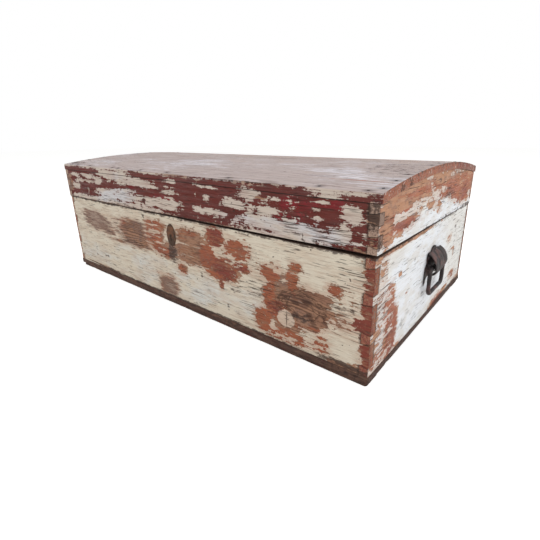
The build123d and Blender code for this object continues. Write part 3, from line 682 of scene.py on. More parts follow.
# The stories of the hidden back and left end: how much of the shown side's length they use, and the shift.
behind_share, behind_shift_mm = -0.8, -70
left_share, left_shift_mm = 0.9, 24
# The grain bends round one knot, drawn out along the board and pinched in its middle.
bent_middle, bent_reach, bent_longer, bent_pinch = (328, 84), 30, 3.0, 0.6
# Where growth rings show best: the middle, how much longer than high, the reach and the strength.
RING_PLACES = (((325, 90), 1.4, 45, 1.7), ((-150, 140), 1.8, 75, 1.4))
faint_rings, bold_rings = 0.25, 1.2
# How far flaking moves the outline of a heart and of an arc, and how deep a knot reaches into its board.
loose_heart_mm, loose_arc_mm, knot_depth_mm = 0.9, 2.5, 8


def unworn(count):
    """The wear of some points that nothing has touched yet."""
    return {word: np.full(count, BARE) for word in WORN}


def face_wear(story, along, height):
    """The wear of one face, from its story of spots."""
    found = {word: spots(along, height, places) for word, places in story.items()}
    told = unworn(len(along))
    none = np.full(len(along), BARE)
    told.update((word, found[word]) for word in WORN if word in found)
    told["halo"] = found.get("cream lost", none)
    painted = -found.get("bare", none)
    kept = np.maximum(-told["halo"], found.get("cream kept", none))
    told["cream"] = np.minimum(kept, painted)
    if "maroon lost" in story:
        kept = np.maximum(-found["maroon lost"], found["maroon kept"])
        told["maroon"] = np.minimum(kept, painted)
    return told


def tell(fields, on_face, story, along, height):
    """Writes one face's story into the wear of the points on it."""
    for word, values in face_wear(story, along[on_face], height[on_face]).items():
        fields[word][on_face] = values


def seen_behind(x_mm):
    """Where the hidden back reads the story of the front, turned round, drawn out and shifted."""
    return behind_share * x_mm + behind_shift_mm


def seen_left(y_mm):
    """Where the hidden left end reads the story of the right end, drawn out and shifted."""
    return left_share * y_mm + left_shift_mm


def board_wear(node, co, normal):
    """The wear of a board of the body or lid, by the face of the trunk that each point is on."""
    body = body_of(node)
    front, back, end, edge = outsides[body][:4]
    x, y, z = co[:, 0] / MM, (co[:, 1] - middle_y) / MM, co[:, 2] / MM
    fields = unworn(len(co))
    # Faces that point up or down are drawn darker than the others.
    fields["dirt"] = np.where(np.abs(normal[:, 2]) > MOSTLY_FACING, level_face_darkening_mm, upright_face_darkening_mm)
    front_story, end_story = (FRONT_LID, RIGHT_LID) if body == "lid" else (FRONT_BODY, RIGHT_BODY)
    sides = (
        ((normal[:, 1] < -FACING) & (y < (front - middle_y) / MM + board_near_mm), front_story, x),
        ((normal[:, 1] > FACING) & (y > (back - middle_y) / MM - board_near_mm), front_story, seen_behind(x)),
        ((normal[:, 0] > FACING) & (x > end / MM - board_near_mm), end_story, y),
        ((normal[:, 0] < -FACING) & (x < board_near_mm - end / MM), end_story, seen_left(y)),
    )
    for on_face, story, along in sides:
        tell(fields, on_face, story, along, z)
    on_end = end_grain(node, normal, MOSTLY_FACING)
    for word, more_mm in END_GRAIN[body].items():
        fields[word][on_end] += more_mm
    # Every face is drawn darker over the last few millimetres by the seam between body and lid.
    by_seam = seam_darkening_mm - np.abs(z - edge / MM)
    fields["dirt"] = np.maximum(fields["dirt"], seam_darkening_slope * by_seam)
    return fields


def grain_line(node, co):
    """The height of a point across the grain, bent round the knot of the front board, in millimetres."""
    x, line = co[:, 0] / MM, co[:, 2] / MM
    if node != "front_board":
        return line
    dx, dz = (x - bent_middle[0]) / bent_longer, line - bent_middle[1]
    away = np.hypot(dx, dz)
    bend = dz * (bent_reach / np.maximum(away, bent_reach)) ** 2
    return line - bend + np.minimum(0.0, bent_pinch * (away - bent_reach))


def knot_figure(node, co):
    """How strongly the growth rings show: most around the knots of the front board."""
    shown = np.full(len(co), faint_rings)
    if node == "front_board":
        for (along, up), longer, reach, most in RING_PLACES:
            away = np.hypot((co[:, 0] / MM - along) / longer, co[:, 2] / MM - up)
            shown = np.maximum(shown, most - away / reach)
    return np.minimum(shown, bold_rings)


def nail_stain(co):
    """The black stain that each roof nail leaves in the wood around it."""
    stain = np.zeros(len(co))
    for place in roof_nail_places:
        away = np.hypot((co[:, 0] - place[0]) / stain_longer, co[:, 1] - place[1])
        away = np.hypot(away, co[:, 2] - place[2])
        stain = np.maximum(stain, np.clip(stain_core - away / (stain_mm * MM), 0, stain_most))
    return stain


def keep_wear(mesh, fields):
    """Keeps the wear of a board in its mesh. A field may be one number for the whole board."""
    for kept, words in KEPT.items():
        columns = np.broadcast_arrays(*[fields[word] for word in words])
        attribute = mesh.attributes.new(kept, "FLOAT_VECTOR", "POINT")
        attribute.data.foreach_set("vector", np.stack(columns, axis=1).astype(np.float32).ravel())


def worn_board(node, material, slot):
    """A board of the body or lid with rubbed arrises, an uneven face and its paint's places."""
    body = body_of(node)
    front, back, end, edge, seam_way = outsides[body]
    bm = cut_board(node)
    co, normal = points_of(bm)
    seed = own_seed(node)
    sides = ((1, -1, front), (1, 1, back))
    ends = ((0, -1, -end), (0, 1, end))
    seam = ((2, seam_way, edge),)
    rub(co, ends, sides, wear_radius(co, 2, corner_wear_mm, CORNER_SEEDS[body]))
    rub(co, sides, seam, wear_radius(co, 0, rim_wear_mm, seed))
    rub(co, ends, seam, wear_radius(co, 1, rim_wear_mm, seed))
    wave = [wave_across_mm * MM] * 3
    wave[1 if "end" in node else 0] = board_wave_mm * MM
    dip(co, normal, board_dip_mm, wave, seed)
    move_points(bm, co)
    layer = bm.verts.layers.float["joint"]
    joint = np.array([vert[layer] for vert in bm.verts])
    bm.verts.layers.float.remove(layer)
    mesh = finish_mesh("worn_" + node, bm)
    fields = board_wear(node, co, normal)
    on_end = end_grain(node, normal, SQUARELY_FACING) * 1.0
    fields.update(line=grain_line(node, co), joint=joint, end=on_end)
    fields.update(stain=nail_stain(co), figure=knot_figure(node, co))
    keep_wear(mesh, fields)
    piece("worn_" + node, mesh, body, material, slot, node)


def roof_place(y_mm, depth_mm):
    """The point of the roof under a place across the lid, at a depth below its top."""
    angle = np.arcsin((y_mm - lid_middle_mm) / roof_radius_mm)
    r = roof_radius_mm - depth_mm
    return lid_middle_mm + r * np.sin(angle), roof_centre_mm + r * np.cos(angle)


def plank_wear(node, co, normal, depth):
    """The wear of a roof plank, from its points while it is still flat and their depth below its top."""
    low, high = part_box(node)
    x, y = co[:, 0] / MM, (co[:, 1] - middle_y) / MM
    on_end = end_grain(node, normal, MOSTLY_FACING)
    on_front = (normal[:, 1] < -FACING) & (node == "roof_plank_1")
    on_back = (normal[:, 1] > FACING) & (node == "roof_plank_4")
    on_top = (normal[:, 2] > MOSTLY_FACING) & ~on_end
    fields = unworn(len(co))
    # The front and back carry on the lid's paint, with the topmost millimetres worn bare.
    for on_face, along in ((on_front, x), (on_back, seen_behind(x))):
        tell(fields, on_face, FRONT_LID, along, roof_edge_mm - depth)
        fields["cream"][on_face] -= less_cream_mm
        maroon = np.minimum(fields["maroon"] + more_maroon_mm, bare_slope * (depth - bare_top_mm))
        fields["maroon"][on_face] = maroon[on_face]
    # The ends keep a smear of primer, deeper towards the back, and hold dirt in their edge and splits.
    split = np.min([np.abs(y - place) for place in ROOF_SPLITS], axis=0)
    end_wear = {
        "primer": end_primer_mm - end_primer_slope * np.abs(y - end_primer_place),
        "cream": np.full(len(co), end_cream_mm),
        "deep": np.clip((y - end_deep_place) / end_deep_run, *end_deep_limits),
        "dirt": np.maximum(end_dirt_mm - depth, split_dirt_mm - split),
    }
    # The top is bare and checked, and has gone greyest towards the front.
    top_wear = {
        "primer": spots(x, y, ROOF_PRIMER),
        "dirt": spots(x, y, ROOF_DIRT),
        "grey": top_grey_mm - y / top_grey_run,
        "checks": fields["checks"] + top_checks_mm,
    }
    for on_part, worn in ((on_end, end_wear), (on_top, top_wear)):
        for word, values in worn.items():
            fields[word][on_part] = values[on_part]
    by_joint = np.minimum(co[:, 1] - low.y, high.y - co[:, 1]) < plank_joint_mm * MM
    by_joint &= np.abs(normal[:, 2]) > MOSTLY_FACING
    fields.update(line=co[:, 1] / MM, joint=by_joint * plank_joint_dark)
    fields.update(end=on_end * 1.0, figure=plank_rings)
    return fields


def worn_plank(node, material):
    """A roof plank, cut flat and bent to its arc, with its outer arrises rubbed round."""
    low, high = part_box(node)
    is_front, is_back = node == "roof_plank_1", node == "roof_plank_4"
    top = plank_thickness_mm * MM
    bm = grid_block((low.x, low.y, 0.0), (high.x, high.y, top), board_cell)
    co, normal = points_of(bm)
    seed = plank_seed + int(node[-1])
    ends = ((0, -1, -high.x), (0, 1, high.x))
    end_radius = wear_radius(co, 1, plank_end_wear_mm, seed)
    rub(co, ends, ((2, 1, top),), end_radius)
    for side, outer in (((1, -1, low.y), is_front), ((1, 1, high.y), is_back)):
        size_mm = roof_arris_wear_mm if outer else plank_joint_wear_mm
        rub(co, (side,), ((2, 1, top),), wear_radius(co, 0, size_mm, seed + 2))
        if outer:
            rub(co, ends, (side,), end_radius)
    wave = [plank_wave_mm * MM, wave_across_mm * MM, wave_across_mm * MM]
    dip(co, normal, plank_dip_mm, wave, seed)
    depth = (top - co[:, 2]) / MM
    y, z = roof_place(co[:, 1] / MM, depth)
    # The outer sides of the first and last plank stand upright, flush with the lid's boards.
    outer_mm = np.where(is_front, co[:, 1] - low.y, high.y - co[:, 1]) / MM
    upright = (is_front or is_back) & (outer_mm < plank_upright_mm)
    y = np.where(upright, co[:, 1] / MM, y)
    placed = np.stack([co[:, 0], y * MM, z * MM], axis=1)
    move_points(bm, placed)
    mesh = finish_mesh("worn_" + node, bm)
    fields = plank_wear(node, co, normal, depth)
    fields["stain"] = nail_stain(placed)
    keep_wear(mesh, fields)
    piece("worn_" + node, mesh, "lid", material, "weathered_pine", node)


def plain_board(node, material, wear_mm):
    """A floor board or runner with rubbed arrises and round corners."""
    low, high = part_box(node)
    bm = grid_block(low, high, 2 * board_cell)
    co, normal = points_of(bm)
    seed = own_seed(node)
    radius, end_radius = (wear_radius(co, axis, wear_mm, seed) for axis in (0, 1))
    corner_radius = wear_radius(co, 2, floor_corner_mm, seed)
    ends = ((0, -1, -high.x), (0, 1, high.x))
    levels = ((2, -1, low.z), (2, 1, high.z))
    for side in ((1, -1, low.y), (1, 1, high.y)):
        at_face = min(side[2] - front_face, back_face - side[2]) < board_near_mm * MM
        if at_face or node.endswith("runner"):
            rub(co, ends, (side,), corner_radius)
        rub(co, (side,), levels, radius)
    rub(co, ends, levels, end_radius)
    move_points(bm, co)
    mesh = finish_mesh("worn_" + node, bm)
    across, up = co[:, 1], co[:, 2]
    on_side = np.abs(normal[:, 2]) < MOSTLY_FACING
    on_top = normal[:, 2] > MOSTLY_FACING
    # Near-black lines along the top and bottom of the sides, and along the long edges of the top, are painted
    # shade in the gaps between floor boards, runners and body.
    by_joint = on_side & (np.minimum(up - low.z, high.z - up) < floor_joint_mm * MM)
    by_joint |= on_top & (np.minimum(across - low.y, high.y - across) < floor_joint_mm * MM)
    on_end = end_grain(node, normal, SQUARELY_FACING) * 1.0
    fields = unworn(len(co))
    fields.update(FLOOR_WEAR, line=(across + up) / MM, joint=by_joint * 1.0, end=on_end)
    keep_wear(mesh, fields)
    piece("worn_" + node, mesh, "carcass", material, "bare_pine", node)


# Materials

# Levels and shares are in the unit of what they are given for: from -1 to 1 for a pattern of the grain, in
# millimetres inside a spot for a field of wear, and from 0 to 1 for a coat, a crack or a stain.

# The grain of old pine and its paint: the length and width of each pattern's streaks in millimetres, then its
# detail and its roughness. Real fibres are finer than hair, which is drawn this coarse so that it shows.
GRAIN = {
    "hair": (40, 1.3, 2.0, 0.5),
    "streak": (46, 5.0, 4.0, 0.6),
    "flake": (15, 8, 6.0, 0.72),
    "chip": (5.5, 3.2, 3.0, 0.6),
    "blot": (52, 26, 4.0, 0.6),
    "cloud": (160, 70, 3.0, 0.55),
    "drift": (300, 40, 1.0, 0.5),
    "thin": (40, 1.5, 2.0, 0.55),
    "hole": (7.5, 5.0, 1.0, 0.5),
}
FIBRES = ("hair", "streak")
# The fields of wear as the grain tears them: a field, and how many millimetres each pattern moves its edge.
TORN = {
    "thinned": {"halo": 1.0, "streak": 9.0, "flake": 8.0},
    "greyed": {"grey": 1.0, "flake": 9.0, "blot": 6.0},
    "deepened": {"deep": 1.0, "blot": 9.0, "flake": 11.0},
    "cooled": {"cool": 1.0, "cloud": 26.0, "blot": 12.0},
    "soiled": {"dirt": 1.0, "streak": 6.0, "flake": 7.0, "chip": 4.0},
    "bleached": {"greyed": 0.03, "streak": 1.1, "cloud": 0.9},
}
ring_mm = 5.2
deepest_rough = 0.92


def total(tree, seen, shares, start=0.0):
    """A sum of patterns and fields of wear, each times its share."""
    for word, share in shares.items():
        start = add(tree, "ShaderNodeMath", {0: seen[word], 1: share, 2: start}, operation="MULTIPLY_ADD")
    return start


def marks(tree, source, low, high, most=1.0):
    """How strong a mark is: none of it at the low level of its source, and most of it at the high one."""
    levels = {"Value": source, "From Min": low, "From Max": high, "To Max": most}
    return add(tree, "ShaderNodeMapRange", levels)


def stack(tree, seen, base, layers):
    """Colours laid over one another: what shows each, its low and high level, its most and its colour."""
    for word, low, high, most, tone in layers:
        amount = marks(tree, seen[word], low, high, most)
        base = add(tree, "ShaderNodeMix", {"Factor": amount, "A": base, "B": tone}, data_type="RGBA")
    return base


def read_wear(tree):
    """The fields of wear that the mesh of a board keeps."""
    read = {}
    for kept, words in KEPT.items():
        held = add(tree, "ShaderNodeAttribute", attribute_name=kept)
        parts = add(tree, "ShaderNodeSeparateXYZ", {0: held.outputs["Vector"]})
        read.update(zip(words, parts.outputs))
    return read


def grain(tree, place, grain_axis, longer):
    """The patterns of the grain, from -1 to 1, drawn out along it. The fibres may be longer still."""
    drawn = {}
    for word, (along_mm, across_mm, detail, rough) in GRAIN.items():
        size = [1 / (across_mm * MM)] * 3
        size[grain_axis] = 1 / (along_mm * MM * (longer if word in FIBRES else 1))
        spread = add(tree, "ShaderNodeVectorMath", {0: place, 1: size}, operation="MULTIPLY")
        noise_settings = {"Vector": spread, "Scale": 1.0, "Detail": detail, "Roughness": rough}
        drawn[word] = add(tree, "ShaderNodeTexNoise", noise_settings, normalize=False).outputs[0]
    return drawn


def growth_rings(tree, seen):
    """How much late wood shows: a wave up the board, drifting slowly and broken by the fibres."""
    wave = total(tree, seen, {"line": 1.0, "drift": 16.0, "chip": 0.5})
    wave = add(tree, "ShaderNodeMath", {0: wave, 1: 2 * math.pi / ring_mm}, operation="MULTIPLY")
    wave = add(tree, "ShaderNodeMath", {0: wave}, operation="SINE")
    wave = add(tree, "ShaderNodeMath", {0: wave, 1: seen["figure"]}, operation="MULTIPLY")
    ring = total(tree, {**seen, "wave": wave}, {"wave": 2.3, "hair": 0.9, "streak": 0.6, "blot": 0.5})
    return marks(tree, ring, 0.3, 2.0, 0.72)


def cracks(tree, seen):
    """Checks, which are short dark cracks along the grain, and specks, which are worm holes and chips."""
    levels = {"Value": seen["checks"], "From Min": -8.0, "From Max": 8.0, "To Min": -0.01, "To Max": 0.24}
    reach = add(tree, "ShaderNodeMapRange", levels)
    check = total(tree, {**seen, "reach": reach}, {"thin": 1.0, "reach": 1.0, "cloud": 0.15})
    check = marks(tree, check, 0.62, 0.72, 0.85)
    speck = marks(tree, seen["hole"], 0.74, 0.8, 0.9)
    return add(tree, "ShaderNodeMath", {0: speck, 1: check}, operation="MAXIMUM")


def coats_left(tree, seen):
    """How much of each coat is left. Its edge is torn along the grain and flaked, or soft where rubbed."""
    rubbed = marks(tree, seen["rubbed"], -4.0, 6.0)
    torn = total(tree, seen, {"streak": 6.5, "flake": 6.0, "chip": 1.2, "blot": 5.0})
    scuffed = total(tree, seen, {"streak": 10.0, "hair": 5.0, "blot": 3.0})
    torn = add(tree, "ShaderNodeMix", {"Factor": rubbed, "A": torn, "B": scuffed}, data_type="FLOAT")
    soft = add(tree, "ShaderNodeMath", {0: rubbed, 1: 2.6, 2: 0.6}, operation="MULTIPLY_ADD")
    left = {}
    for coat, more_mm in (("primer", 3.0), ("cream", 0.0), ("maroon", 0.0)):
        depth = total(tree, {**seen, "torn": torn}, {"torn": 1.0, coat: 1.0}, more_mm)
        depth = add(tree, "ShaderNodeMath", {0: depth, 1: soft}, operation="DIVIDE")
        left[coat + " left"] = marks(tree, depth, -1.0, 1.0)
    return left


def apart(tree, seen, place, middle_mm, half_mm, loose_mm=loose_heart_mm):
    """How far a point is from a spot on the front face, in the spot's own half sizes: 1 is on its outline."""
    middle = (middle_mm[0] * MM, front_face, middle_mm[1] * MM)
    half = (half_mm[0] * MM, knot_depth_mm * MM, half_mm[1] * MM)
    away = add(tree, "ShaderNodeVectorMath", {0: place, 1: middle}, operation="SUBTRACT")
    away = add(tree, "ShaderNodeVectorMath", {0: away, 1: half}, operation="DIVIDE")
    away = add(tree, "ShaderNodeVectorMath", {0: away}, operation="LENGTH").outputs["Value"]
    return total(tree, seen, {"flake": loose_mm / half_mm[1]}, away)


def knotty(tree, seen, place):
    """The front board's cracks with the hearts and arcs of its knots, and its cream with the round knot's."""
    crack = seen["crack"]
    # A heart is darkest in its middle and gone a quarter of its size outside its outline.
    for middle, half in KNOT_HEARTS:
        heart = marks(tree, apart(tree, seen, place, middle, half), 1.25, 0.6, 0.8)
        crack = add(tree, "ShaderNodeMath", {0: heart, 1: crack}, operation="MAXIMUM")
    broken = marks(tree, seen["streak"], -0.25, 0.0)
    for middle, half, arcs in KNOT_CRACKS:
        near = marks(tree, apart(tree, seen, place, middle, half), 1.15, 0.85)
        for arc_middle, arc_half, half_width_mm in arcs:
            line = apart(tree, seen, place, arc_middle, arc_half, loose_arc_mm)
            line = {0: line, 1: arc_half[1], 2: -arc_half[1]}
            line = add(tree, "ShaderNodeMath", line, operation="MULTIPLY_ADD")
            line = add(tree, "ShaderNodeMath", {0: line}, operation="ABSOLUTE")
            line = marks(tree, line, 1.3 * half_width_mm, 0.5 * half_width_mm, 0.65)
            for share in (broken, near):
                line = add(tree, "ShaderNodeMath", {0: line, 1: share}, operation="MULTIPLY")
            crack = add(tree, "ShaderNodeMath", {0: line, 1: crack}, operation="MAXIMUM")
    # The cap keeps its cream, with a bare ring round it.
    away = apart(tree, seen, place, *ROUND_KNOT, loose_arc_mm)
    outside = marks(tree, away, 1.3, 1.45)
    painted = marks(tree, away, 1.04, 0.98)
    cream = {0: seen["cream left"], 1: outside, 2: painted}
    cream = add(tree, "ShaderNodeMath", cream, operation="MULTIPLY_ADD")
    return {"crack": crack, "cream left": cream}


def coloured(tree, seen, wood, primer, cream, maroon, raised):
    """The colour of painted pine: wood, then each coat where it is left, then dirt, cracks, stains, and
    near-black joints that are partly painted gap shade.
    """
    timber = (
        ("blot", -0.2, 0.5, 0.9, wood["blot"]),
        ("flake", 0.0, 0.5, 0.4, wood["late"]),
        ("greyed", -3.0, 6.0, 0.85, wood["grey"]),
        ("bleached", 0.6, 1.15, 0.9, wood["bleached"]),
        ("late", 0.0, 1.0, 1.0, wood["late"]),
        ("end", 0.4, 0.6, 0.5, wood["grey"]),
    )
    red = (
        ("blot", -0.1, 0.4, 0.75, primer["blot"]),
        ("deepened", -4.0, 5.0, 0.9, primer["deep"]),
        ("flake", 0.15, 0.4, 0.6, wood["blot"]),
        ("streak", 0.05, 0.5, 0.5, wood["early"]),
        ("chip", 0.8, 0.9, 0.8, cream["blot"]),
        ("hair", 0.15, 0.5, 0.5, wood["late"]),
    )
    pale = (
        ("cooled", -8.0, 10.0, 0.9, cream["cool"]),
        ("blot", 0.0, 0.5, 0.6, cream["blot"]),
        ("thinned", -8.0, 4.0, 0.55, grime_and_gap_shade["thin_edge"]),
        ("streak", 0.15, 0.6, 0.4 * raised, cream["thin"]),
        ("hair", 0.1, 0.6, 0.45 * raised, cream["thin"]),
        ("hair", 0.58, 0.7, 0.42 * raised, wood["late"]),
    )
    top = (
        ("deepened", -3.0, 4.0, 0.9, maroon["deep"]),
        ("blot", -0.1, 0.5, 0.7, maroon["blot"]),
        ("hair", 0.2, 0.6, 0.4, wood["late"]),
        ("chip", 0.85, 0.95, 0.6, cream["thin"]),
    )
    laid = (
        ("primer left", 0.0, 1.0, 1.0, stack(tree, seen, primer["plain"], red)),
        ("cream left", 0.0, 1.0, 1.0, stack(tree, seen, cream["plain"], pale)),
        ("maroon left", 0.0, 1.0, 1.0, stack(tree, seen, maroon["plain"], top)),
        ("soiled", -3.0, 3.0, 0.85, grime_and_gap_shade["dirt"]),
        ("crack", 0.0, 1.0, 1.0, grime_and_gap_shade["crack"]),
        ("stain", 0.0, 1.0, 0.85, grime_and_gap_shade["iron_stain"]),
        # Near-black joints, which on floor boards and runners are painted shade in their gaps.
        ("joint", 0.2, 1.0, 0.7, grime_and_gap_shade["joint"]),
    )
    return stack(tree, seen, stack(tree, seen, wood["early"], timber), laid)


def painted_pine(name, axis, wood, primer, cream, maroon, smoothest, longer=1.0, knots=False, raised=1.0):
    """Old pine under worn milk paint: wood, red primer, cream and maroon coats, torn along the grain."""
    made = bpy.data.materials.new(name)
    tree = empty_tree(made)
    place = add(tree, "ShaderNodeTexCoord").outputs["Object"]
    seen = {**read_wear(tree), **grain(tree, place, axis, longer)}
    for word, shares in TORN.items():
        seen[word] = total(tree, seen, shares)
    seen.update(late=growth_rings(tree, seen), crack=cracks(tree, seen), **coats_left(tree, seen))
    if knots:
        seen.update(knotty(tree, seen, place))
    colour = coloured(tree, seen, wood, primer, cream, maroon, raised)
    relief = {"primer left": 0.15, "cream left": 0.25, "maroon left": 0.2, "hair": 0.35, "late": 0.15}
    relief.update({"chip": 0.12, "crack": -0.9, "flake": 0.25})
    height = total(tree, seen, relief)
    bump = add(tree, "ShaderNodeBump", {"Strength": 1.0, "Distance": MM, "Height": height})
    levels = {"Value": seen["streak"], "From Min": -0.5, "From Max": 0.5, "To Min": smoothest}
    rough = add(tree, "ShaderNodeMapRange", {**levels, "To Max": deepest_rough})
    surface = {"Base Color": colour, "Roughness": rough, "Normal": bump}
    surface.update({"IOR": 1.45, "Specular IOR Level": 0.3})
    shader = add(tree, "ShaderNodeBsdfPrincipled", surface)
    add(tree, "ShaderNodeOutputMaterial", {"Surface": shader})
    return made


def aged_metal(name, dark, mid, bloom):
    """Old worked metal: dark, paler on its raised grain, with a bloom of rust or tarnish in patches."""
    made = bpy.data.materials.new(name)
    tree = empty_tree(made)
    place = add(tree, "ShaderNodeTexCoord").outputs["Object"]
    grit = {"Vector": place, "Scale": 1 / (3 * MM), "Detail": 4.0, "Roughness": 0.6}
    pits = add(tree, "ShaderNodeTexNoise", grit)
    patches = {"Vector": place, "Scale": 1 / (22 * MM), "Detail": 3.0, "Roughness": 0.6}
    patches = add(tree, "ShaderNodeTexNoise", patches)
    tone = add(tree, "ShaderNodeMix", {"Factor": pits, "A": dark, "B": mid}, data_type="RGBA")
    colour = {"Factor": marks(tree, patches, 0.48, 0.66), "A": tone, "B": bloom}
    colour = add(tree, "ShaderNodeMix", colour, data_type="RGBA")
    bump = add(tree, "ShaderNodeBump", {"Strength": 0.6, "Distance": 0.6 * MM, "Height": pits})
    rough = add(tree, "ShaderNodeMapRange", {"Value": pits, "To Min": 0.42, "To Max": 0.75})
    surface = {"Base Color": colour, "Roughness": rough, "Metallic": 0.55, "Normal": bump}
    shader = add(tree, "ShaderNodeBsdfPrincipled", surface)
    add(tree, "ShaderNodeOutputMaterial", {"Surface": shader})
    return made


# Old pine: early and late wood, its darker blots and where it has gone grey or bleached.
bare = tones(early="#9a725a", late="#4a3127", blot="#825c4a", grey="#7d6255", bleached="#a08a7c")
ends = tones(early="#b08468", late="#6d4a3b", blot="#a0705a", grey="#967766", bleached="#bca392")
roof = tones(early="#a98d7c", late="#7d6a63", blot="#98806f", grey="#b9acaa", bleached="#dedae0")
floor = tones(early="#62473b", late="#271b18", blot="#4a352d", grey="#3a2c2b", bleached="#6d5850")
# Each coat: its plain colour, what it turns to in places, its blots and what it thins to.
orange_primer = tones(plain="#9c573b", deep="#76342a", blot="#8c4d39")
end_primer = tones(plain="#a5634b", deep="#83463b", blot="#9a6550")
cream_paint = tones(plain="#d4c9b7", cool="#d0cfca", blot="#cab9a5", thin="#b49b87")
white_paint = tones(plain="#dcdbd8", cool="#e0e3e8", blot="#d2cec8", thin="#c4bab1")
scraped_cream = tones(plain="#c6b8ab", cool="#cac8ca", blot="#bba59c", thin="#a3887c")
maroon_paint = tones(plain="#632c26", deep="#7e2026", blot="#552622")
# What time lays over them all, and a near-black for joints that also paints the shade in gaps.
grime_and_gap_shade = tones(thin_edge="#c2a28e", dirt="#40302a", crack="#3d271f", iron_stain="#1d1613", joint="#1f1713")

# Milk paint brushed over sawn pine: dead matt, with cream flaked off to red primer and brown wood.
cream_pine = painted_pine(
    "milk_painted_pine", 0, bare, orange_primer, cream_paint, maroon_paint, 0.5, knots=True
)
# The same under a whiter coat on the end boards, whose grain runs across: chalky, with faint brush streaks.
white_pine = painted_pine(
    "white_painted_pine", 1, ends, end_primer, white_paint, maroon_paint, 0.5, raised=0.6
)
# The same under a last coat of maroon, half of it scraped off: dark red islands in pale cream.
red_pine = painted_pine(
    "maroon_painted_pine", 0, bare, orange_primer, scraped_cream, maroon_paint, 0.45
)
# Planed pine left to the weather: silver grey, with long bleached fibres and open checks.
roof_pine = painted_pine(
    "weathered_pine", 0, roof, orange_primer, scraped_cream, maroon_paint, 0.45, longer=3.25
)
# Sawn pine near the ground: dark and dull with dirt, with nearly no paint.
dark_pine = painted_pine("soiled_pine", 0, floor, orange_primer, cream_paint, maroon_paint, 0.6)
# Wrought iron, hammered hot: black from the fire, with a dull gleam on its dents and brown rust in patches.
iron = aged_metal("forged_iron", linear("#171415"), linear("#403939"), linear("#5e4440"))
# Sheet brass, cut and filed: brown with age, a little warmer and yellower where the tarnish is thin.
brass = aged_metal("aged_brass", linear("#2a1c15"), linear("#533a28"), linear("#6e452b"))

# Nails and forged pieces


def plain_mesh(made):
    """The mesh that an object's modifiers give."""
    seen = made.evaluated_get(bpy.context.evaluated_depsgraph_get())
    mesh = bpy.data.meshes.new_from_object(seen)
    bpy.data.objects.remove(made)
    return mesh


def nail_tree():
    """Geometry nodes for hammered nail heads: one on each point, facing the way that the point gives."""
    tree = bpy.data.node_groups.new("hammered_nail_heads", "GeometryNodeTree")
    for name, kind in (
        ("Points", "Geometry"),
        ("Head Radius", "Float"),
        ("Head Height", "Float"),
        ("Dent Depth", "Float"),
        ("Seed", "Int"),
        ("Iron", "Material"),
    ):
        tree.interface.new_socket(name, in_out="INPUT", socket_type="NodeSocket" + kind)
    tree.interface.new_socket("Heads", in_out="OUTPUT", socket_type="NodeSocketGeometry")
    given = add(tree, "NodeGroupInput").outputs
    dome = add(tree, "GeometryNodeMeshUVSphere", {"Segments": 14, "Rings": 8, "Radius": 1.0})
    size = {"X": given["Head Radius"], "Y": given["Head Radius"], "Z": given["Head Height"]}
    size = add(tree, "ShaderNodeCombineXYZ", size)
    dome = add(tree, "GeometryNodeTransform", {"Geometry": dome.outputs["Mesh"], "Scale": size})
    way = add(tree, "GeometryNodeInputNamedAttribute", {"Name": "facing"}, data_type="FLOAT_VECTOR")
    turn = add(tree, "FunctionNodeAlignRotationToVector", {"Vector": way}, axis="Z")
    uneven = {"Min": (0.82, 0.82, 0.7), "Max": (1.0, 1.0, 1.0), "Seed": given["Seed"]}
    uneven = add(tree, "FunctionNodeRandomValue", uneven, data_type="FLOAT_VECTOR")
    heads = {"Points": given["Points"], "Instance": dome, "Rotation": turn, "Scale": uneven}
    heads = add(tree, "GeometryNodeInstanceOnPoints", heads)
    heads = add(tree, "GeometryNodeRealizeInstances", {"Geometry": heads})
    cloud = add(tree, "ShaderNodeTexNoise", {"Scale": 1 / (2.5 * MM), "Detail": 1.0})
    depth = add(tree, "ShaderNodeMath", {0: cloud, 1: given["Dent Depth"]}, operation="MULTIPLY")
    normal = add(tree, "GeometryNodeInputNormal")
    dent = add(tree, "ShaderNodeVectorMath", {0: normal, "Scale": depth}, operation="SCALE")
    inward = add(tree, "ShaderNodeVectorMath", {0: dent, "Scale": -1.0}, operation="SCALE")
    heads = add(tree, "GeometryNodeSetPosition", {"Geometry": heads, "Offset": inward})
    heads = add(tree, "GeometryNodeSetMaterial", {"Geometry": heads, "Material": given["Iron"]})
    add(tree, "NodeGroupOutput", {"Heads": heads})
    return tree


head_tree = nail_tree()


def nails(name, body, replaced, radius_mm, height_mm, seed):
    """The nail heads of one body, on the places of their CAD nails."""
    heads = [head for node in replaced for head in nail_heads(node)]
    mesh = bpy.data.meshes.new(name)
    mesh.from_pydata([place - way * height_mm * MM for place, way in heads], [], [])
    facing = mesh.attributes.new("facing", "FLOAT_VECTOR", "POINT")
    facing.data.foreach_set("vector", np.array([way for place, way in heads], np.float32).ravel())
    made = in_scene(name + "_points", mesh)
    growth = made.modifiers.new("heads", "NODES")
    growth.node_group = head_tree
    values = {
        "Head Radius": radius_mm * MM,
        "Head Height": height_mm * MM,
        "Dent Depth": nail_dent_mm * MM,
        "Seed": seed,
        "Iron": iron,
    }
    for socket in head_tree.interface.items_tree:
        if socket.in_out == "INPUT" and socket.name in values:
            growth[socket.identifier] = values[socket.name]
    mesh = plain_mesh(made)
    mesh.shade_smooth()
    piece(name, mesh, body, iron, "wrought_iron", *replaced)


def flute(co, node):
    """Presses two grooves into a hood, from near its top down and outwards."""
    low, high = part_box(node)
    across = np.abs(2 * (co[:, 1] - low.y) / (high.y - low.y) - 1)
    up = (co[:, 2] - low.z) / (high.z - low.z)
    middle = flute_out + flute_lean * (1 - up)
    groove = np.exp(-(((across - middle) / flute_width) ** 2))
    groove *= np.clip((up - flute_start) / flute_fade, 0, 1)
    co[:, 0] -= np.sign(co[:, 0]) * flute_mm * MM * groove


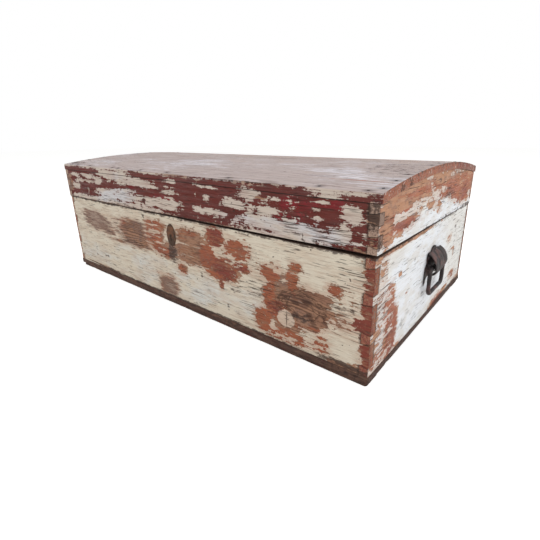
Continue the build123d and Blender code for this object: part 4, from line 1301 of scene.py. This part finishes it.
def forged(node, body, material, slot, dent_mm, voxel_mm=forged_cell_mm):
    """A forged piece in fine cells, with soft arrises and hammer marks that only go inwards."""
    bm = merged(node)
    mesh = bpy.data.meshes.new(node)
    bm.to_mesh(mesh)
    bm.free()
    made = in_scene("rough_" + node, mesh)
    cells = made.modifiers.new("cells", "REMESH")
    cells.mode = "VOXEL"
    cells.voxel_size = voxel_mm * MM * 1
    even = made.modifiers.new("even", "SMOOTH")
    even.iterations = 3
    even.factor = 0.5
    mesh = plain_mesh(made)
    bm = bmesh.new()
    bm.from_mesh(mesh)
    co, normal = points_of(bm)
    seed = own_seed(node)
    blows = fine_noise(co, [blow_mm * MM] * 3, seed)
    pits = fine_noise(co, [pit_mm * MM] * 3, seed + 9)
    depth = dent_mm * MM * np.clip(mark_mean + blow_share * blows + pit_share * pits, 0, mark_most)
    co -= normal * depth[:, None]
    if node.endswith("hood"):
        flute(co, node)
    move_points(bm, co)
    bm.to_mesh(mesh)
    bm.free()
    mesh.shade_smooth()
    piece("forged_" + node, mesh, body, material, slot, node)


# The pieces

for node in ("front_board", "back_board"):
    worn_board(node, cream_pine, "cream_painted_pine")
for node in ("left_end_board", "right_end_board"):
    worn_board(node, white_pine, "white_painted_pine")
for node in ("lid_front_board", "lid_back_board"):
    worn_board(node, red_pine, "red_painted_pine")
for node in ("lid_left_end_board", "lid_right_end_board"):
    worn_board(node, white_pine, "white_painted_pine")
for node in sorted(nodes):
    if node.startswith("roof_plank"):
        worn_plank(node, roof_pine)
    if node.startswith("floor_board"):
        plain_board(node, dark_pine, wear_mm=2.2)
    if node.endswith("runner"):
        plain_board(node, dark_pine, wear_mm=1.5)

for side in ("left", "right"):
    for part, body, dent_mm in (
        ("_handle_plate", "carcass", 0.5),
        ("_handle_hood", "carcass", 0.55),
        ("_bail", side + "_bail", 0.45),
        ("_hinge_body_leaf", "carcass", 0.4),
        ("_hinge_lid_leaf", "lid", 0.4),
    ):
        forged(side + part, body, iron, "wrought_iron", dent_mm)
forged("escutcheon", "carcass", brass, "aged_brass", dent_mm=0.25, voxel_mm=0.5)
nails("roof_nail_heads", "lid", ["roof_nails"], *roof_head_mm, seed=3)
nails("hinge_nail_heads", "lid", ["hinge_lid_nails"], *ironwork_head_mm, seed=5)
nails("ironwork_nail_heads", "carcass", ["handle_nails", "hinge_body_nails"], *ironwork_head_mm, seed=7)

for name, node in nodes.items():
    if not node.hide_render:
        node.data.materials.clear()
        node.data.materials.append(brass if "escutcheon" in name else iron)

camera()
studio()
